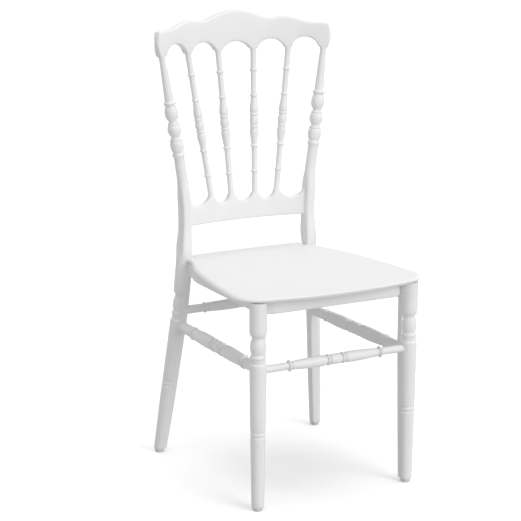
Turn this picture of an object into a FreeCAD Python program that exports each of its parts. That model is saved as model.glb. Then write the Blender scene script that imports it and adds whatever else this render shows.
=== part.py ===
import FreeCAD, Part
import math
import os
from FreeCAD import Vector

# Sizes are in millimetres. +X is right seen from the front, +Y is the back, +Z is up.

# Heights of the main levels
SEAT_HEIGHT = 426.0
BACK_GAP = 62.5
LOWER_RAIL_HEIGHT = 55.0
SPINDLE_RISE = 294.5

# Front legs, upright, round outside and square on the corner that faces the chair's middle
FRONT_LEG_X = 169.8
FRONT_LEG_Y = -188.6
FRONT_LEG_RADIUS = 16.7
FRONT_CALF_RADIUS = 14.2
FRONT_FOOT_RADIUS = 12.3
LEG_SHANK_DROP = 136.0
CALF_HEIGHT = 118.0
SQUARE_CORNER = 3.0
CALF_SQUARE_CORNER = 3.5
FOOT_SQUARE_CORNER = 4.5
ROUNDNESS = 0.96

# Rear posts: a raked leg, a flat stile and a turned top on one bent line
REAR_LEG_RADIUS = 15.0
REAR_CALF_RADIUS = 13.9
REAR_FOOT_RADIUS = 12.0
POST_WAIST_X = 140.0
POST_WAIST_RISE = 29.0
POST_FLARE_DOWN = 0.0985
POST_FLARE_UP = 0.148
POST_BEND = 85.0
POST_Y = 170.7
RAKE_DROP = 104.0
RAKE_SLOPE = 0.12
RAKE_BEND = 60.0
LEAN_DROP = 238.0
LEAN_RADIUS = 2100.0
HIP_RISE = 18.0
HIP_WIDTH = 23.0
HIP_DEPTH = 34.0
STILE_WIDTH = 19.5
STILE_DEPTH = 29.0
STILE_CORNER = 4.0
SHAFT_RADIUS = 10.8
SHAFT_BLEND = 48.0
SECTION_PITCH = 20.0

# Turned top of the rear posts, as drops below the crest rail's points
POST_TOP_RADIUS = 6.0
POST_COLLAR_DROP = 94.0
POST_COLLAR_RADIUS = 12.8
POST_COLLAR_SHAFT = 9.9
POST_BEAD_RADIUS = 13.7
POST_NECK_RADIUS = 8.2
POST_NECK_HALF = 1.0
POST_HIGH_NECK_DROP = 131.0
POST_LOW_NECK_DROP = 161.0
POST_RING_DROP = 198.0
POST_RING_RADIUS = 12.7
POST_RING_HALF = 4.0
POST_CORE_RADIUS = 7.4
TURN_DROP = 204.0

# Turned band of all four legs, as drops below the seat's top
BAND_LIP_DROP = 70.0
BAND_NOTCH_DROP = 80.0
BAND_BEAD_TOP_DROP = 85.5
BAND_NECK_DROP = 111.0
BAND_RING_DROP = 114.5
BAND_COVE_DROP = 121.5
BAND_END_DROP = 131.0
BAND_NOTCH_DEPTH = 5.0
BAND_BEAD_DEPTH = 3.4
BAND_BEAD_SWELL = 1.9
BAND_RING_DEPTH = 1.6
FOOT_RING_HEIGHT = 155.5
FOOT_RING_PITCH = 9.2
FOOT_GROOVE_DEPTH = 1.2
FOOT_GROOVE_HALF = 2.2

# Foot glides
GLIDE_HEIGHT = 9.0
GLIDE_TOP_INSET = 0.3
GLIDE_SOLE_RADIUS = 8.5
GLIDE_PEG_RADIUS = 5.0
GLIDE_PEG_LENGTH = 14.0

# Crest rail, heights above its points
CREST_BOW = 40.0
CREST_THICKNESS = 14.5
CREST_LEAN = 0.075
CREST_POINT_WIDTH = 13.0
CREST_OUTER_ARCH_RISE = 22.0
CREST_ARCH_RISE = 20.0
CREST_CENTRE_ARCH_RISE = 17.5
CREST_CROWN_RISE = 82.0
CREST_CROWN_SIDE_X = 33.6
CREST_CROWN_SIDE_RISE = 76.8
CREST_DIP_X = 76.0
CREST_DIP_RISE = 64.0
CREST_SHOULDER_X = 115.0
CREST_SHOULDER_RISE = 66.0
CREST_SLOPE_X = 162.0
CREST_SLOPE_RISE = 52.5
CREST_CORNER_OUT = 7.0
CREST_CORNER_RISE = 50.0
CREST_CORNER_SLOPE = 0.05
CREST_SIDE_OUT = 14.5
CREST_SIDE_RISE = 30.0
CREST_LOBE_IN = 9.0
CREST_LOBE_OUT = 10.0
CREST_LOBE_CORNER = 4.0

# Lower back rail, heights above its underside
LOWER_RAIL_BOW = 20.0
LOWER_RAIL_THICKNESS = 14.5
LOWER_POINT_WIDTH = 13.0
LOWER_SCALLOP_DEPTH = 15.5
LOWER_END_RISE = 6.5
LOWER_TENON_HEIGHT = 28.0

# Spindles, with distances from their middle
INNER_SPINDLE_FOOT_X = 28.0
INNER_SPINDLE_HEAD_X = 41.0
OUTER_SPINDLE_FOOT_X = 77.0
OUTER_SPINDLE_HEAD_X = 116.7
SPINDLE_NECK_RADIUS = 6.0
SPINDLE_BEAD_RADIUS = 9.4
SPINDLE_BEAD_HALF = 9.0
SPINDLE_BEAD_SWELL = 0.6
SPINDLE_GROOVE_RADIUS = 7.6
SPINDLE_CENTRE_RING = 13.0
SPINDLE_VASE_TOP = 18.0
SPINDLE_VASE_RADIUS = 8.8
SPINDLE_VASE_SWELL = 0.9
SPINDLE_INNER_RING = 52.5
SPINDLE_OUTER_RING = 105.0
SPINDLE_RING_RADIUS = 8.2
SPINDLE_RING_HALF = 3.0
SPINDLE_TENON_RADIUS = 4.2
SPINDLE_TENON_LENGTH = 13.0

# Seat panel
SEAT_FRONT_Y = -233.0
SEAT_FRONT_BOW = 24.0
SEAT_CORNER_X = 210.5
SEAT_CORNER_RADIUS = 64.0
SEAT_SIDE_X = 189.0
SEAT_SIDE_Y = 10.0
SEAT_REAR_X = 146.0
SEAT_REAR_Y = 184.0
SEAT_LIP = 10.0
SEAT_EDGE_RADIUS = 4.0
SEAT_SKIN = 4.0
SEAT_BAND = 36.0
SEAT_RIB = 3.0
SEAT_RIB_PITCH = 62.0
SEAT_BOSS_RADIUS = 8.0

# Aprons
APRON_HEIGHT = 27.0
APRON_THICKNESS = 18.0
SIDE_APRON_INSET = 5.0
APRON_EDGE_RADIUS = 4.0
APRON_TENON_HEIGHT = 16.0
APRON_TENON_THICKNESS = 7.0

# Stretchers, with drops below the seat's top and distances from their middle
FRONT_STRETCHER_DROP = 144.5
SIDE_STRETCHER_DROP = 147.5
REAR_STRETCHER_DROP = 111.5
SIDE_STRETCHER_INSET = 9.5
REAR_STRETCHER_INSET = 8.0
STRETCHER_CENTRE_RING = 16.5
FRONT_RING_REACH = 102.0
SIDE_RING_REACH = 113.0
REAR_RING_REACH = 97.0
STRETCHER_RING_HALF = 3.2
CROSS_STUB_RADIUS = 7.5
CROSS_RING_RADIUS = 11.4
CROSS_WAIST_RADIUS = 10.4
CROSS_BALUSTER_RADIUS = 10.6
CROSS_BALUSTER_SWELL = 1.2
CROSS_FLAT = 7.5
SIDE_STUB_RADIUS = 11.2
SIDE_RING_RADIUS = 13.8
SIDE_WAIST_RADIUS = 12.8
SIDE_BALUSTER_RADIUS = 13.2
SIDE_BALUSTER_SWELL = 1.0
SIDE_FLAT = 5.0
STRETCHER_TENON_RADIUS = 4.0

# Corner braces and hardware
BRACE_ARM = 55.0
BRACE_HEIGHT = 22.0
BRACE_FLOOR = 6.0
BRACE_SCREW_AT = 39.0
SEAT_SCREW_AT = 23.0
SEAT_SCREW_IN = 10.0
SEAT_SCREW_BITE = 6.0
APRON_SCREW_BITE = 11.0
SCREW_RADIUS = 2.0
SCREW_HEAD_RADIUS = 4.0
SCREW_HEAD_HEIGHT = 2.6
SCREW_CROWN_RADIUS = 2.0
SCREW_CROWN_SWELL = 0.65
BOLT_RADIUS = 2.0
BOLT_HEAD_RADIUS = 4.6
BOLT_HEAD_HEIGHT = 3.6
BOLT_HEAD_SIDES = 6
INSERT_RADIUS = 3.2
INSERT_LENGTH = 7.5
INSERT_RECESS = 0.6

# Clearances
FIT_GAP = 0.2
SOCKET_GAP = 0.15
SOCKET_END_GAP = 0.4
SOCKET_WALL = 2.5
SEAT_NOTCH_GAP = 0.5
TOUCHING = 0.001

# Levels and places that follow from the sizes above
UP = Vector(0, 0, 1)
ORIGIN = Vector(0, 0, 0)
SEAT_UNDERSIDE = SEAT_HEIGHT - SEAT_LIP
APRON_MIDDLE = SEAT_UNDERSIDE - APRON_HEIGHT / 2
RAIL_BOTTOM = SEAT_HEIGHT + BACK_GAP
LOWER_POINTS = RAIL_BOTTOM + LOWER_RAIL_HEIGHT
CREST_POINTS = LOWER_POINTS + SPINDLE_RISE
WAIST_HEIGHT = RAIL_BOTTOM + POST_WAIST_RISE
LEG_SHANK_HEIGHT = SEAT_HEIGHT - LEG_SHANK_DROP
BEYOND = 4 * FRONT_LEG_RADIUS
SLOPE_STEP = 4.0
ARC_INSET = 1 - math.sqrt(0.5)


def bent(along, low_slope, high_slope, half):
    """Offset of a line that goes up and changes its slope evenly, within a length about its bend."""
    if along > half:
        return high_slope * along
    if along < -half:
        return low_slope * along
    turn = (high_slope - low_slope) / (4 * half)
    return low_slope * along + turn * (along + half) ** 2


def post_x(height):
    """Distance of the right rear post's middle line from the chair's middle."""
    return POST_WAIST_X + bent(height - WAIST_HEIGHT, -POST_FLARE_DOWN, POST_FLARE_UP, POST_BEND)


def post_y(height):
    """Depth of the rear post's middle line: raked back at the foot and leaning back at the top."""
    rake = bent(height - (SEAT_HEIGHT - RAKE_DROP), -RAKE_SLOPE, 0, RAKE_BEND)
    lean = max(0.0, height - (CREST_POINTS - LEAN_DROP)) ** 2 / (2 * LEAN_RADIUS)
    return POST_Y + rake + lean


def post_at(height):
    return Vector(post_x(height), post_y(height), height)


def front_leg_at(height):
    return Vector(FRONT_LEG_X, FRONT_LEG_Y, height)


def heading(start, end):
    return end.sub(start).normalize()


def line_heading(line, height):
    return heading(line(height - SLOPE_STEP), line(height + SLOPE_STEP))


def bow_radius(half_span, bow):
    return (half_span ** 2 + bow ** 2) / (2 * bow)


def bow_y(x, half_span, bow, end_y):
    """Depth of a rail's middle line that is bowed backwards between two ends."""
    radius = bow_radius(half_span, bow)
    return end_y + bow - radius + math.sqrt(radius ** 2 - x ** 2)


def crest_y(x):
    return bow_y(x, post_x(CREST_POINTS), CREST_BOW, post_y(CREST_POINTS))


def lower_rail_y(x):
    middle = RAIL_BOTTOM + LOWER_RAIL_HEIGHT / 2
    return bow_y(x, post_x(middle), LOWER_RAIL_BOW, post_y(middle))


def mirrored(shape):
    return shape.mirror(ORIGIN, Vector(1, 0, 0))


def rod(start, end, radius):
    along = end.sub(start)
    return Part.makeCylinder(radius, along.Length, start, along)


def beam(start, end, width, height):
    """Square-edged bar on a level line, with its width to the side and its height upright."""
    along = end.sub(start)
    bar = Part.makeBox(along.Length, width, height, Vector(0, -width / 2, -height / 2))
    turn = math.degrees(math.atan2(along.y, along.x))
    bar.Placement = FreeCAD.Placement(start, FreeCAD.Rotation(UP, turn))
    return bar


def both_ways(half):
    """Whole outline of a symmetrical turning from its half, given from the middle outwards."""
    swells = [step[2] for step in half[1:]] + [0.0]
    far_side = [(-step[0], step[1]) for step in half]
    back = [(at, radius, swell) for (at, radius), swell in zip(far_side, swells)]
    return back[::-1] + half[1:]


def turned(outline, start, direction):
    """Solid turned about a line. Each step is a distance along it, a radius and how far the
    stretch before it swells out."""
    steps = [Vector(radius, 0, at) for at, radius, swell in outline]
    edges = [Part.makeLine(Vector(0, 0, steps[0].z), steps[0])]
    for here, there, step in zip(steps, steps[1:], outline[1:]):
        if step[2]:
            middle = (here + there) / 2 + Vector(step[2], 0, 0)
            edges.append(Part.Arc(here, middle, there).toShape())
        else:
            edges.append(Part.makeLine(here, there))
    edges.append(Part.makeLine(steps[-1], Vector(0, 0, steps[-1].z)))
    edges.append(Part.makeLine(Vector(0, 0, steps[-1].z), Vector(0, 0, steps[0].z)))
    solid = Part.Face(Part.Wire(edges)).revolve(ORIGIN, UP, 360)
    solid.Placement = FreeCAD.Placement(start, FreeCAD.Rotation(UP, direction))
    return solid


def leg_section(centre, half_width, half_depth, corner, square_corner, square_side):
    """Level outline with three like corners and one squarer corner, on the chair's inner side."""
    turns = (((1, 1), (0, 1), (-1, 0)), ((-1, 1), (-1, 0), (0, -1)),
             ((-1, -1), (0, -1), (1, 0)), ((1, -1), (1, 0), (0, 1)))
    arcs = []
    for side, came, leaves in turns:
        radius = square_corner if side == (-1, square_side) else corner
        tip = centre + Vector(side[0] * half_width, side[1] * half_depth, 0)
        came = Vector(came[0], came[1], 0)
        leaves = Vector(leaves[0], leaves[1], 0)
        middle = tip + (leaves - came) * radius * ARC_INSET
        arcs.append((tip - came * radius, middle, tip + leaves * radius))
    edges = []
    for arc, following in zip(arcs, arcs[1:] + arcs[:1]):
        edges.append(Part.Arc(*arc).toShape())
        edges.append(Part.makeLine(arc[2], following[0]))
    return Part.Wire(edges)


def round_section(centre, radius, square_corner, square_side):
    corner = ROUNDNESS * radius
    return leg_section(centre, radius, radius, corner, min(square_corner, corner), square_side)


def front_leg_blank(grow=0.0):
    """Right front leg before its turned band and sockets."""
    sizes = ((GLIDE_HEIGHT, FRONT_FOOT_RADIUS, FOOT_SQUARE_CORNER),
             (CALF_HEIGHT, FRONT_CALF_RADIUS, CALF_SQUARE_CORNER),
             (LEG_SHANK_HEIGHT, FRONT_LEG_RADIUS, SQUARE_CORNER))
    wires = []
    for height, radius, corner in sizes:
        wires.append(round_section(front_leg_at(height), radius + grow, corner, 1))
    calf = Part.makeLoft(wires, True, False)
    shank = Part.Face(wires[-1]).extrude(UP * (SEAT_UNDERSIDE - LEG_SHANK_HEIGHT))
    return calf.fuse(shank)


def post_stations():
    """Height, half width, half depth, corner and square corner at each change of the rear post."""
    shaft_top = CREST_POINTS - TURN_DROP
    stations = []
    for height, radius, square in ((GLIDE_HEIGHT, REAR_FOOT_RADIUS, FOOT_SQUARE_CORNER),
                                   (CALF_HEIGHT, REAR_CALF_RADIUS, CALF_SQUARE_CORNER),
                                   (LEG_SHANK_HEIGHT, REAR_LEG_RADIUS, SQUARE_CORNER),
                                   (SEAT_UNDERSIDE, REAR_LEG_RADIUS, SQUARE_CORNER)):
        corner = ROUNDNESS * radius
        stations.append((height, radius, radius, corner, min(square, corner)))
    for height, width, depth in ((SEAT_HEIGHT + HIP_RISE, HIP_WIDTH, HIP_DEPTH),
                                 (RAIL_BOTTOM, STILE_WIDTH, STILE_DEPTH),
                                 (LOWER_POINTS, STILE_WIDTH, STILE_DEPTH)):
        stations.append((height, width / 2, depth / 2, STILE_CORNER, STILE_CORNER))
    shaft_corner = ROUNDNESS * SHAFT_RADIUS
    for height in (shaft_top - SHAFT_BLEND, shaft_top):
        stations.append((height, SHAFT_RADIUS, SHAFT_RADIUS, shaft_corner, shaft_corner))
    return stations


def post_blank(grow=0.0):
    """Right rear post up to its turned top, before its turned band and sockets."""
    stations = post_stations()
    wires = []
    for here, there in zip(stations, stations[1:]):
        steps = max(1, round((there[0] - here[0]) / SECTION_PITCH))
        for step in range(steps):
            share = step / steps
            eased = share * share * (3 - 2 * share)
            height = here[0] + (there[0] - here[0]) * share
            sizes = [old + (new - old) * eased for old, new in zip(here[1:], there[1:])]
            wires.append(post_section(height, sizes, grow))
    wires.append(post_section(stations[-1][0], stations[-1][1:], grow))
    return Part.makeLoft(wires, True, False)


def post_section(height, sizes, grow):
    half_width, half_depth, corner, square = sizes
    return leg_section(post_at(height), half_width + grow, half_depth + grow, corner, square, -1)


def round_side(cutter, at, inner_side):
    """The part of a cutter round a leg that spares the leg's square corner."""
    low_y = at.y if inner_side > 0 else at.y - BEYOND
    return cutter.cut(Part.makeBox(BEYOND, BEYOND, SEAT_HEIGHT, Vector(at.x - BEYOND, low_y, 0)))


def leg_band(line, radius, calf_radius, inner_side):
    """What is cut off a leg's round sides: the turned band below the seat and the foot rings."""
    notch = radius - BAND_NOTCH_DEPTH
    bead = radius - BAND_BEAD_DEPTH
    ring = radius - BAND_RING_DEPTH
    outside = radius + BAND_NOTCH_DEPTH
    middle = SEAT_HEIGHT - BAND_NECK_DROP
    direction = line_heading(line, middle)
    band = [(BAND_END_DROP, outside, 0), (BAND_END_DROP, radius, 0), (BAND_COVE_DROP, ring, 0),
            (BAND_RING_DROP, bead, BAND_RING_DEPTH), (BAND_NECK_DROP, bead, 0),
            (BAND_BEAD_TOP_DROP, bead, BAND_BEAD_SWELL), (BAND_NOTCH_DROP, notch, 0),
            (BAND_LIP_DROP, radius, 0), (BAND_LIP_DROP, outside, 0)]
    outline = [((BAND_NECK_DROP - drop) / direction.z, size, swell) for drop, size, swell in band]
    tube = turned([(outline[0][0], outside, 0), (outline[-1][0], outside, 0)], line(middle), direction)
    cutter = tube.cut(turned(outline, line(middle), direction))
    cutters = [round_side(cutter, line(middle), inner_side)]
    for side in (-1, 1):
        height = FOOT_RING_HEIGHT + side * FOOT_RING_PITCH / 2
        share = (height - CALF_HEIGHT) / (LEG_SHANK_HEIGHT - CALF_HEIGHT)
        skin = calf_radius + (radius - calf_radius) * share
        low = (-FOOT_GROOVE_HALF, skin + FOOT_GROOVE_DEPTH, 0)
        high = (FOOT_GROOVE_HALF, skin + FOOT_GROOVE_DEPTH, 0)
        direction = line_heading(line, height)
        groove = turned([low, high], line(height), direction)
        core = turned([low, (0, skin - FOOT_GROOVE_DEPTH, 0), high], line(height), direction)
        cutters.append(round_side(groove.cut(core), line(height), inner_side))
    return cutters


def tenon_tongue(axis_point, toward, height, thickness, reach, grow=0.0, deeper=0.0):
    """Flat tenon on a level line that stops short of a leg's middle."""
    stop = thickness / 2 + SOCKET_WALL - deeper
    start = axis_point + toward * reach
    end = axis_point + toward * stop
    return beam(start, end, thickness + 2 * grow, height + 2 * grow)


def tenon_peg(axis_point, toward, radius, stop, reach, grow=0.0, deeper=0.0):
    """Round tenon that stops short of a leg's middle."""
    return rod(axis_point + toward * reach, axis_point + toward * (stop - deeper), radius + grow)


FRONT_APRON_AT = front_leg_at(APRON_MIDDLE)
REAR_APRON_AT = post_at(APRON_MIDDLE)
SIDE_HEADING = heading(FRONT_APRON_AT, REAR_APRON_AT)
ACROSS = Vector(-1, 0, 0)
TENON_REACH = FRONT_LEG_RADIUS + APRON_THICKNESS / 2


def apron_joints():
    """Where an apron enters the right legs: the leg's name, the point on its line and a heading."""
    return (("front_leg", FRONT_APRON_AT, ACROSS), ("front_leg", FRONT_APRON_AT, SIDE_HEADING),
            ("post", REAR_APRON_AT, ACROSS), ("post", REAR_APRON_AT, SIDE_HEADING * -1))


def stretcher_ends(name):
    """The two points on the legs' lines that a stretcher runs between."""
    if name == "front":
        right = front_leg_at(SEAT_HEIGHT - FRONT_STRETCHER_DROP)
        return Vector(-right.x, right.y, right.z), right
    if name == "rear":
        right = post_at(SEAT_HEIGHT - REAR_STRETCHER_DROP) - Vector(0, REAR_STRETCHER_INSET, 0)
        return Vector(-right.x, right.y, right.z), right
    height = SEAT_HEIGHT - SIDE_STRETCHER_DROP
    inset = Vector(SIDE_STRETCHER_INSET, 0, 0)
    return front_leg_at(height) - inset, post_at(height) - inset


def stretcher_joints():
    """Where a stretcher enters the right legs."""
    front_left, front_right = stretcher_ends("front")
    rear_left, rear_right = stretcher_ends("rear")
    side_front, side_rear = stretcher_ends("side")
    along = heading(side_front, side_rear)
    return (("front_leg", front_right, ACROSS), ("front_leg", side_front, along),
            ("post", rear_right, ACROSS), ("post", side_rear, along * -1))


def stretcher_stop():
    return STRETCHER_TENON_RADIUS + SOCKET_WALL


def leg_sockets(leg):
    """Everything bored into a right leg for aprons, stretchers and its foot glide."""
    tools = []
    for name, point, toward in apron_joints():
        if name == leg:
            tools.append(tenon_tongue(point, toward, APRON_TENON_HEIGHT, APRON_TENON_THICKNESS,
                                      BEYOND, SOCKET_GAP, SOCKET_END_GAP))
    for name, point, toward in stretcher_joints():
        if name == leg:
            tools.append(tenon_peg(point, toward, STRETCHER_TENON_RADIUS, stretcher_stop(),
                                   BEYOND, SOCKET_GAP, SOCKET_END_GAP))
    foot = leg_foot(leg)
    peg_end = foot + UP * (GLIDE_HEIGHT + GLIDE_PEG_LENGTH + SOCKET_END_GAP)
    tools.append(rod(foot, peg_end, GLIDE_PEG_RADIUS + SOCKET_GAP))
    return tools


def leg_foot(leg):
    if leg == "front_leg":
        return front_leg_at(0)
    sole = post_at(GLIDE_HEIGHT)
    return Vector(sole.x, sole.y, 0)


def front_leg():
    band = leg_band(front_leg_at, FRONT_LEG_RADIUS, FRONT_CALF_RADIUS, 1)
    return front_leg_blank().cut(band + [insert_bore("front_leg")] + leg_sockets("front_leg"))


def post_top_ends():
    """Where the turned top of the right rear post starts inside its shaft, and where it ends."""
    return post_at(CREST_POINTS - TURN_DROP - SHAFT_RADIUS), post_at(CREST_POINTS)


def post_top_outline():
    """Turned top of a rear post, from inside its shaft up past the crest rail's points."""
    base, top = post_top_ends()
    stretch = top.sub(base).Length / (top.z - base.z)

    def at(drop):
        return (top.z - drop - base.z) * stretch

    ring = POST_RING_RADIUS - SHAFT_RADIUS
    bead = POST_BEAD_RADIUS - POST_NECK_RADIUS
    collar = POST_COLLAR_RADIUS - POST_COLLAR_SHAFT
    return [(0, POST_CORE_RADIUS, 0),
            (at(POST_RING_DROP + POST_RING_HALF), POST_CORE_RADIUS, 0),
            (at(POST_RING_DROP + POST_RING_HALF), SHAFT_RADIUS, 0),
            (at(POST_RING_DROP - POST_RING_HALF), SHAFT_RADIUS, ring),
            (at(POST_LOW_NECK_DROP + POST_NECK_HALF), POST_NECK_RADIUS, bead),
            (at(POST_LOW_NECK_DROP - POST_NECK_HALF), POST_NECK_RADIUS, 0),
            (at(POST_HIGH_NECK_DROP + POST_NECK_HALF), POST_NECK_RADIUS, bead),
            (at(POST_HIGH_NECK_DROP - POST_NECK_HALF), POST_NECK_RADIUS, 0),
            (at(POST_COLLAR_DROP + POST_RING_HALF), POST_COLLAR_SHAFT, bead),
            (at(POST_COLLAR_DROP - POST_RING_HALF), POST_COLLAR_SHAFT, collar),
            (at(0), POST_TOP_RADIUS, 0), (at(-CREST_THICKNESS), POST_TOP_RADIUS, 0)]


def post_top():
    """Turned top of the right rear post with its tenon for the crest rail."""
    base, top = post_top_ends()
    along = heading(base, top)
    above = Part.makeBox(BEYOND, BEYOND, BEYOND, top - Vector(BEYOND / 2, BEYOND / 2, 0))
    return turned(post_top_outline(), base, along).cut(above).fuse(post_top_tenon())


def post_top_tenon(grow=0.0, longer=0.0):
    base, top = post_top_ends()
    along = heading(base, top)
    return rod(top - along * SPINDLE_TENON_LENGTH, top + along * (SPINDLE_TENON_LENGTH + longer),
               SPINDLE_TENON_RADIUS + grow)


def rear_post():
    band = leg_band(post_at, REAR_LEG_RADIUS, REAR_CALF_RADIUS, -1)
    tongue_socket = lower_rail_tongue(SOCKET_GAP, SOCKET_END_GAP)
    post = post_blank().cut(band + [insert_bore("post"), tongue_socket] + leg_sockets("post"))
    return post.fuse(post_top())


def lower_rail_tongue(grow=0.0, deeper=0.0):
    """Flat tenon of the lower back rail in the right rear post."""
    height = RAIL_BOTTOM + LOWER_RAIL_HEIGHT / 2
    point = post_at(height)
    out = STILE_WIDTH / 2 - SOCKET_WALL - APRON_TENON_THICKNESS / 2 - SOCKET_WALL
    return tenon_tongue(point + Vector(out, 0, 0), ACROSS, LOWER_TENON_HEIGHT,
                        APRON_TENON_THICKNESS, STILE_WIDTH + out, grow, deeper)


def bowed_slab(depth_at, thickness, half_length, low, high, lean):
    """Upright slab of even thickness on a bowed line, leaning back by a slope."""
    def line(offset):
        return [Vector(x, depth_at(x) + offset, low) for x in (-half_length, 0, half_length)]

    front = line(-thickness / 2)
    back = line(thickness / 2)
    edges = [Part.Arc(*front).toShape(), Part.makeLine(front[2], back[2]),
             Part.Arc(*back).toShape(), Part.makeLine(back[0], front[0])]
    rise = high - low
    return Part.Face(Part.Wire(Part.sortEdges(edges)[0])).extrude(Vector(0, lean * rise, rise))


def upright_plate(edges):
    """Outline in the XZ plane, given along the part's depth as a plate through the whole chair."""
    depth = SEAT_REAR_Y - SEAT_FRONT_Y
    face = Part.Face(Part.Wire(edges))
    face.translate(Vector(0, SEAT_FRONT_Y, 0))
    return face.extrude(Vector(0, 2 * depth, 0))


def arches(points, half_point, base, rises):
    """Row of arcs that joins short level points, from left to right."""
    edges = []
    for here, there, rise in zip(points, points[1:], rises):
        start = Vector(here + half_point, 0, base)
        end = Vector(there - half_point, 0, base)
        middle = Vector((here + there) / 2, 0, base + rise)
        edges.append(Part.Arc(start, middle, end).toShape())
    return edges


def bridge(edges):
    """Join edges that follow each other with straight lines, and close the outline."""
    whole = []
    for edge, following in zip(edges, edges[1:] + edges[:1]):
        whole.append(edge)
        end = edge.valueAt(edge.LastParameter)
        start = following.valueAt(following.FirstParameter)
        if end.distanceToPoint(start) > TOUCHING:
            whole.append(Part.makeLine(end, start))
    return whole


def spindle_lines():
    """Foot and head of each spindle's middle line, from left to right."""
    feet = (OUTER_SPINDLE_FOOT_X, INNER_SPINDLE_FOOT_X)
    heads = (OUTER_SPINDLE_HEAD_X, INNER_SPINDLE_HEAD_X)
    right = [(foot, head) for foot, head in zip(feet[::-1], heads[::-1])]
    left = [(-foot, -head) for foot, head in zip(feet, heads)]
    return [(Vector(foot, lower_rail_y(foot), LOWER_POINTS), Vector(head, crest_y(head), CREST_POINTS))
            for foot, head in left + right]


def spindle_tenons(grow=0.0, longer=0.0):
    """Round tenons at both ends of each spindle: a list of foot and head pegs."""
    pegs = []
    for foot, head in spindle_lines():
        along = heading(foot, head)
        inside = SPINDLE_NECK_RADIUS * 2
        length = SPINDLE_TENON_LENGTH + longer
        pegs.append((rod(foot - along * length, foot + along * inside, SPINDLE_TENON_RADIUS + grow),
                     rod(head - along * inside, head + along * length, SPINDLE_TENON_RADIUS + grow)))
    return pegs


def spindle_outline(length):
    neck = SPINDLE_NECK_RADIUS
    groove = SPINDLE_GROOVE_RADIUS
    ring = SPINDLE_RING_RADIUS - neck
    centre_ring = SPINDLE_BEAD_RADIUS - groove
    half = [(0, SPINDLE_BEAD_RADIUS, 0),
            (SPINDLE_BEAD_HALF, groove, SPINDLE_BEAD_SWELL),
            (SPINDLE_CENTRE_RING - SPINDLE_RING_HALF, groove, 0),
            (SPINDLE_CENTRE_RING + SPINDLE_RING_HALF, groove, centre_ring),
            (SPINDLE_VASE_TOP, SPINDLE_VASE_RADIUS, 0),
            (SPINDLE_INNER_RING - SPINDLE_RING_HALF, neck, SPINDLE_VASE_SWELL),
            (SPINDLE_INNER_RING + SPINDLE_RING_HALF, neck, ring),
            (SPINDLE_OUTER_RING - SPINDLE_RING_HALF, neck, 0),
            (SPINDLE_OUTER_RING + SPINDLE_RING_HALF, neck, ring),
            (length / 2, neck, 0)]
    return both_ways(half)


def spindles():
    solids = []
    for (foot, head), pegs in zip(spindle_lines(), spindle_tenons()):
        along = heading(foot, head)
        length = head.sub(foot).Length
        spare = SPINDLE_NECK_RADIUS
        outline = spindle_outline(length + 2 * spare)
        body = turned(outline, (foot + head) / 2, along)
        room = 2 * BEYOND
        for corner in (head, foot - Vector(0, 0, room)):
            body = body.cut(Part.makeBox(room, room, room, corner - Vector(room / 2, room / 2, 0)))
        solids.append(body.fuse(list(pegs)))
    return solids


def crest_end():
    """Right end of the crest rail's outline: a round-cornered lobe, its side and its top corner."""
    end_x = post_x(CREST_POINTS)
    out = end_x + CREST_LOBE_OUT
    low = Vector(out - CREST_LOBE_CORNER, 0, CREST_POINTS)
    high = Vector(out, 0, CREST_POINTS + CREST_LOBE_CORNER)
    inset = CREST_LOBE_CORNER * ARC_INSET
    turn = Vector(out - inset, 0, CREST_POINTS + inset)
    side = Vector(end_x + CREST_SIDE_OUT, 0, CREST_POINTS + CREST_SIDE_RISE)
    corner = Vector(end_x + CREST_CORNER_OUT, 0, CREST_POINTS + CREST_CORNER_RISE)
    return (low, turn, high), (high, side, corner)


def flipped(points):
    """The same points on the other side of the chair, in the opposite order."""
    return [Vector(-point.x, point.y, point.z) for point in points][::-1]


def crest_wave(corner):
    """Wavy top of the crest rail from its right corner to its left corner."""
    right = [corner] + [Vector(x, 0, CREST_POINTS + rise) for x, rise in (
        (CREST_SLOPE_X, CREST_SLOPE_RISE), (CREST_SHOULDER_X, CREST_SHOULDER_RISE),
        (CREST_DIP_X, CREST_DIP_RISE), (CREST_CROWN_SIDE_X, CREST_CROWN_SIDE_RISE))]
    crown = Vector(0, 0, CREST_POINTS + CREST_CROWN_RISE)
    wave = Part.BSplineCurve()
    wave.interpolate(Points=right + [crown] + flipped(right),
                     InitialTangent=Vector(-1, 0, CREST_CORNER_SLOPE),
                     FinalTangent=Vector(-1, 0, -CREST_CORNER_SLOPE))
    return wave.toShape()


def crest_rail():
    end_x = post_x(CREST_POINTS)
    half_point = CREST_POINT_WIDTH / 2
    last = end_x - CREST_LOBE_IN + half_point
    points = [-last, -OUTER_SPINDLE_HEAD_X, -INNER_SPINDLE_HEAD_X]
    points += [-x for x in points[::-1]]
    rises = [CREST_OUTER_ARCH_RISE, CREST_ARCH_RISE, CREST_CENTRE_ARCH_RISE]
    under = arches(points, half_point, CREST_POINTS, rises + rises[1::-1])
    lobe, side = crest_end()
    edges = under + [Part.Arc(*lobe).toShape(), Part.Arc(*side).toShape(), crest_wave(side[2]),
                     Part.Arc(*flipped(side)).toShape(), Part.Arc(*flipped(lobe)).toShape()]
    plate = upright_plate(bridge(edges))
    slab = bowed_slab(crest_y, CREST_THICKNESS, end_x + 2 * CREST_SIDE_OUT, CREST_POINTS,
                      CREST_POINTS + 2 * CREST_CROWN_RISE, CREST_LEAN)
    sockets = [head_peg for foot_peg, head_peg in spindle_tenons(SOCKET_GAP, SOCKET_END_GAP)]
    socket = post_top_tenon(SOCKET_GAP, SOCKET_END_GAP)
    return plate.common(slab).cut(sockets + [socket, mirrored(socket)])


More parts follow.
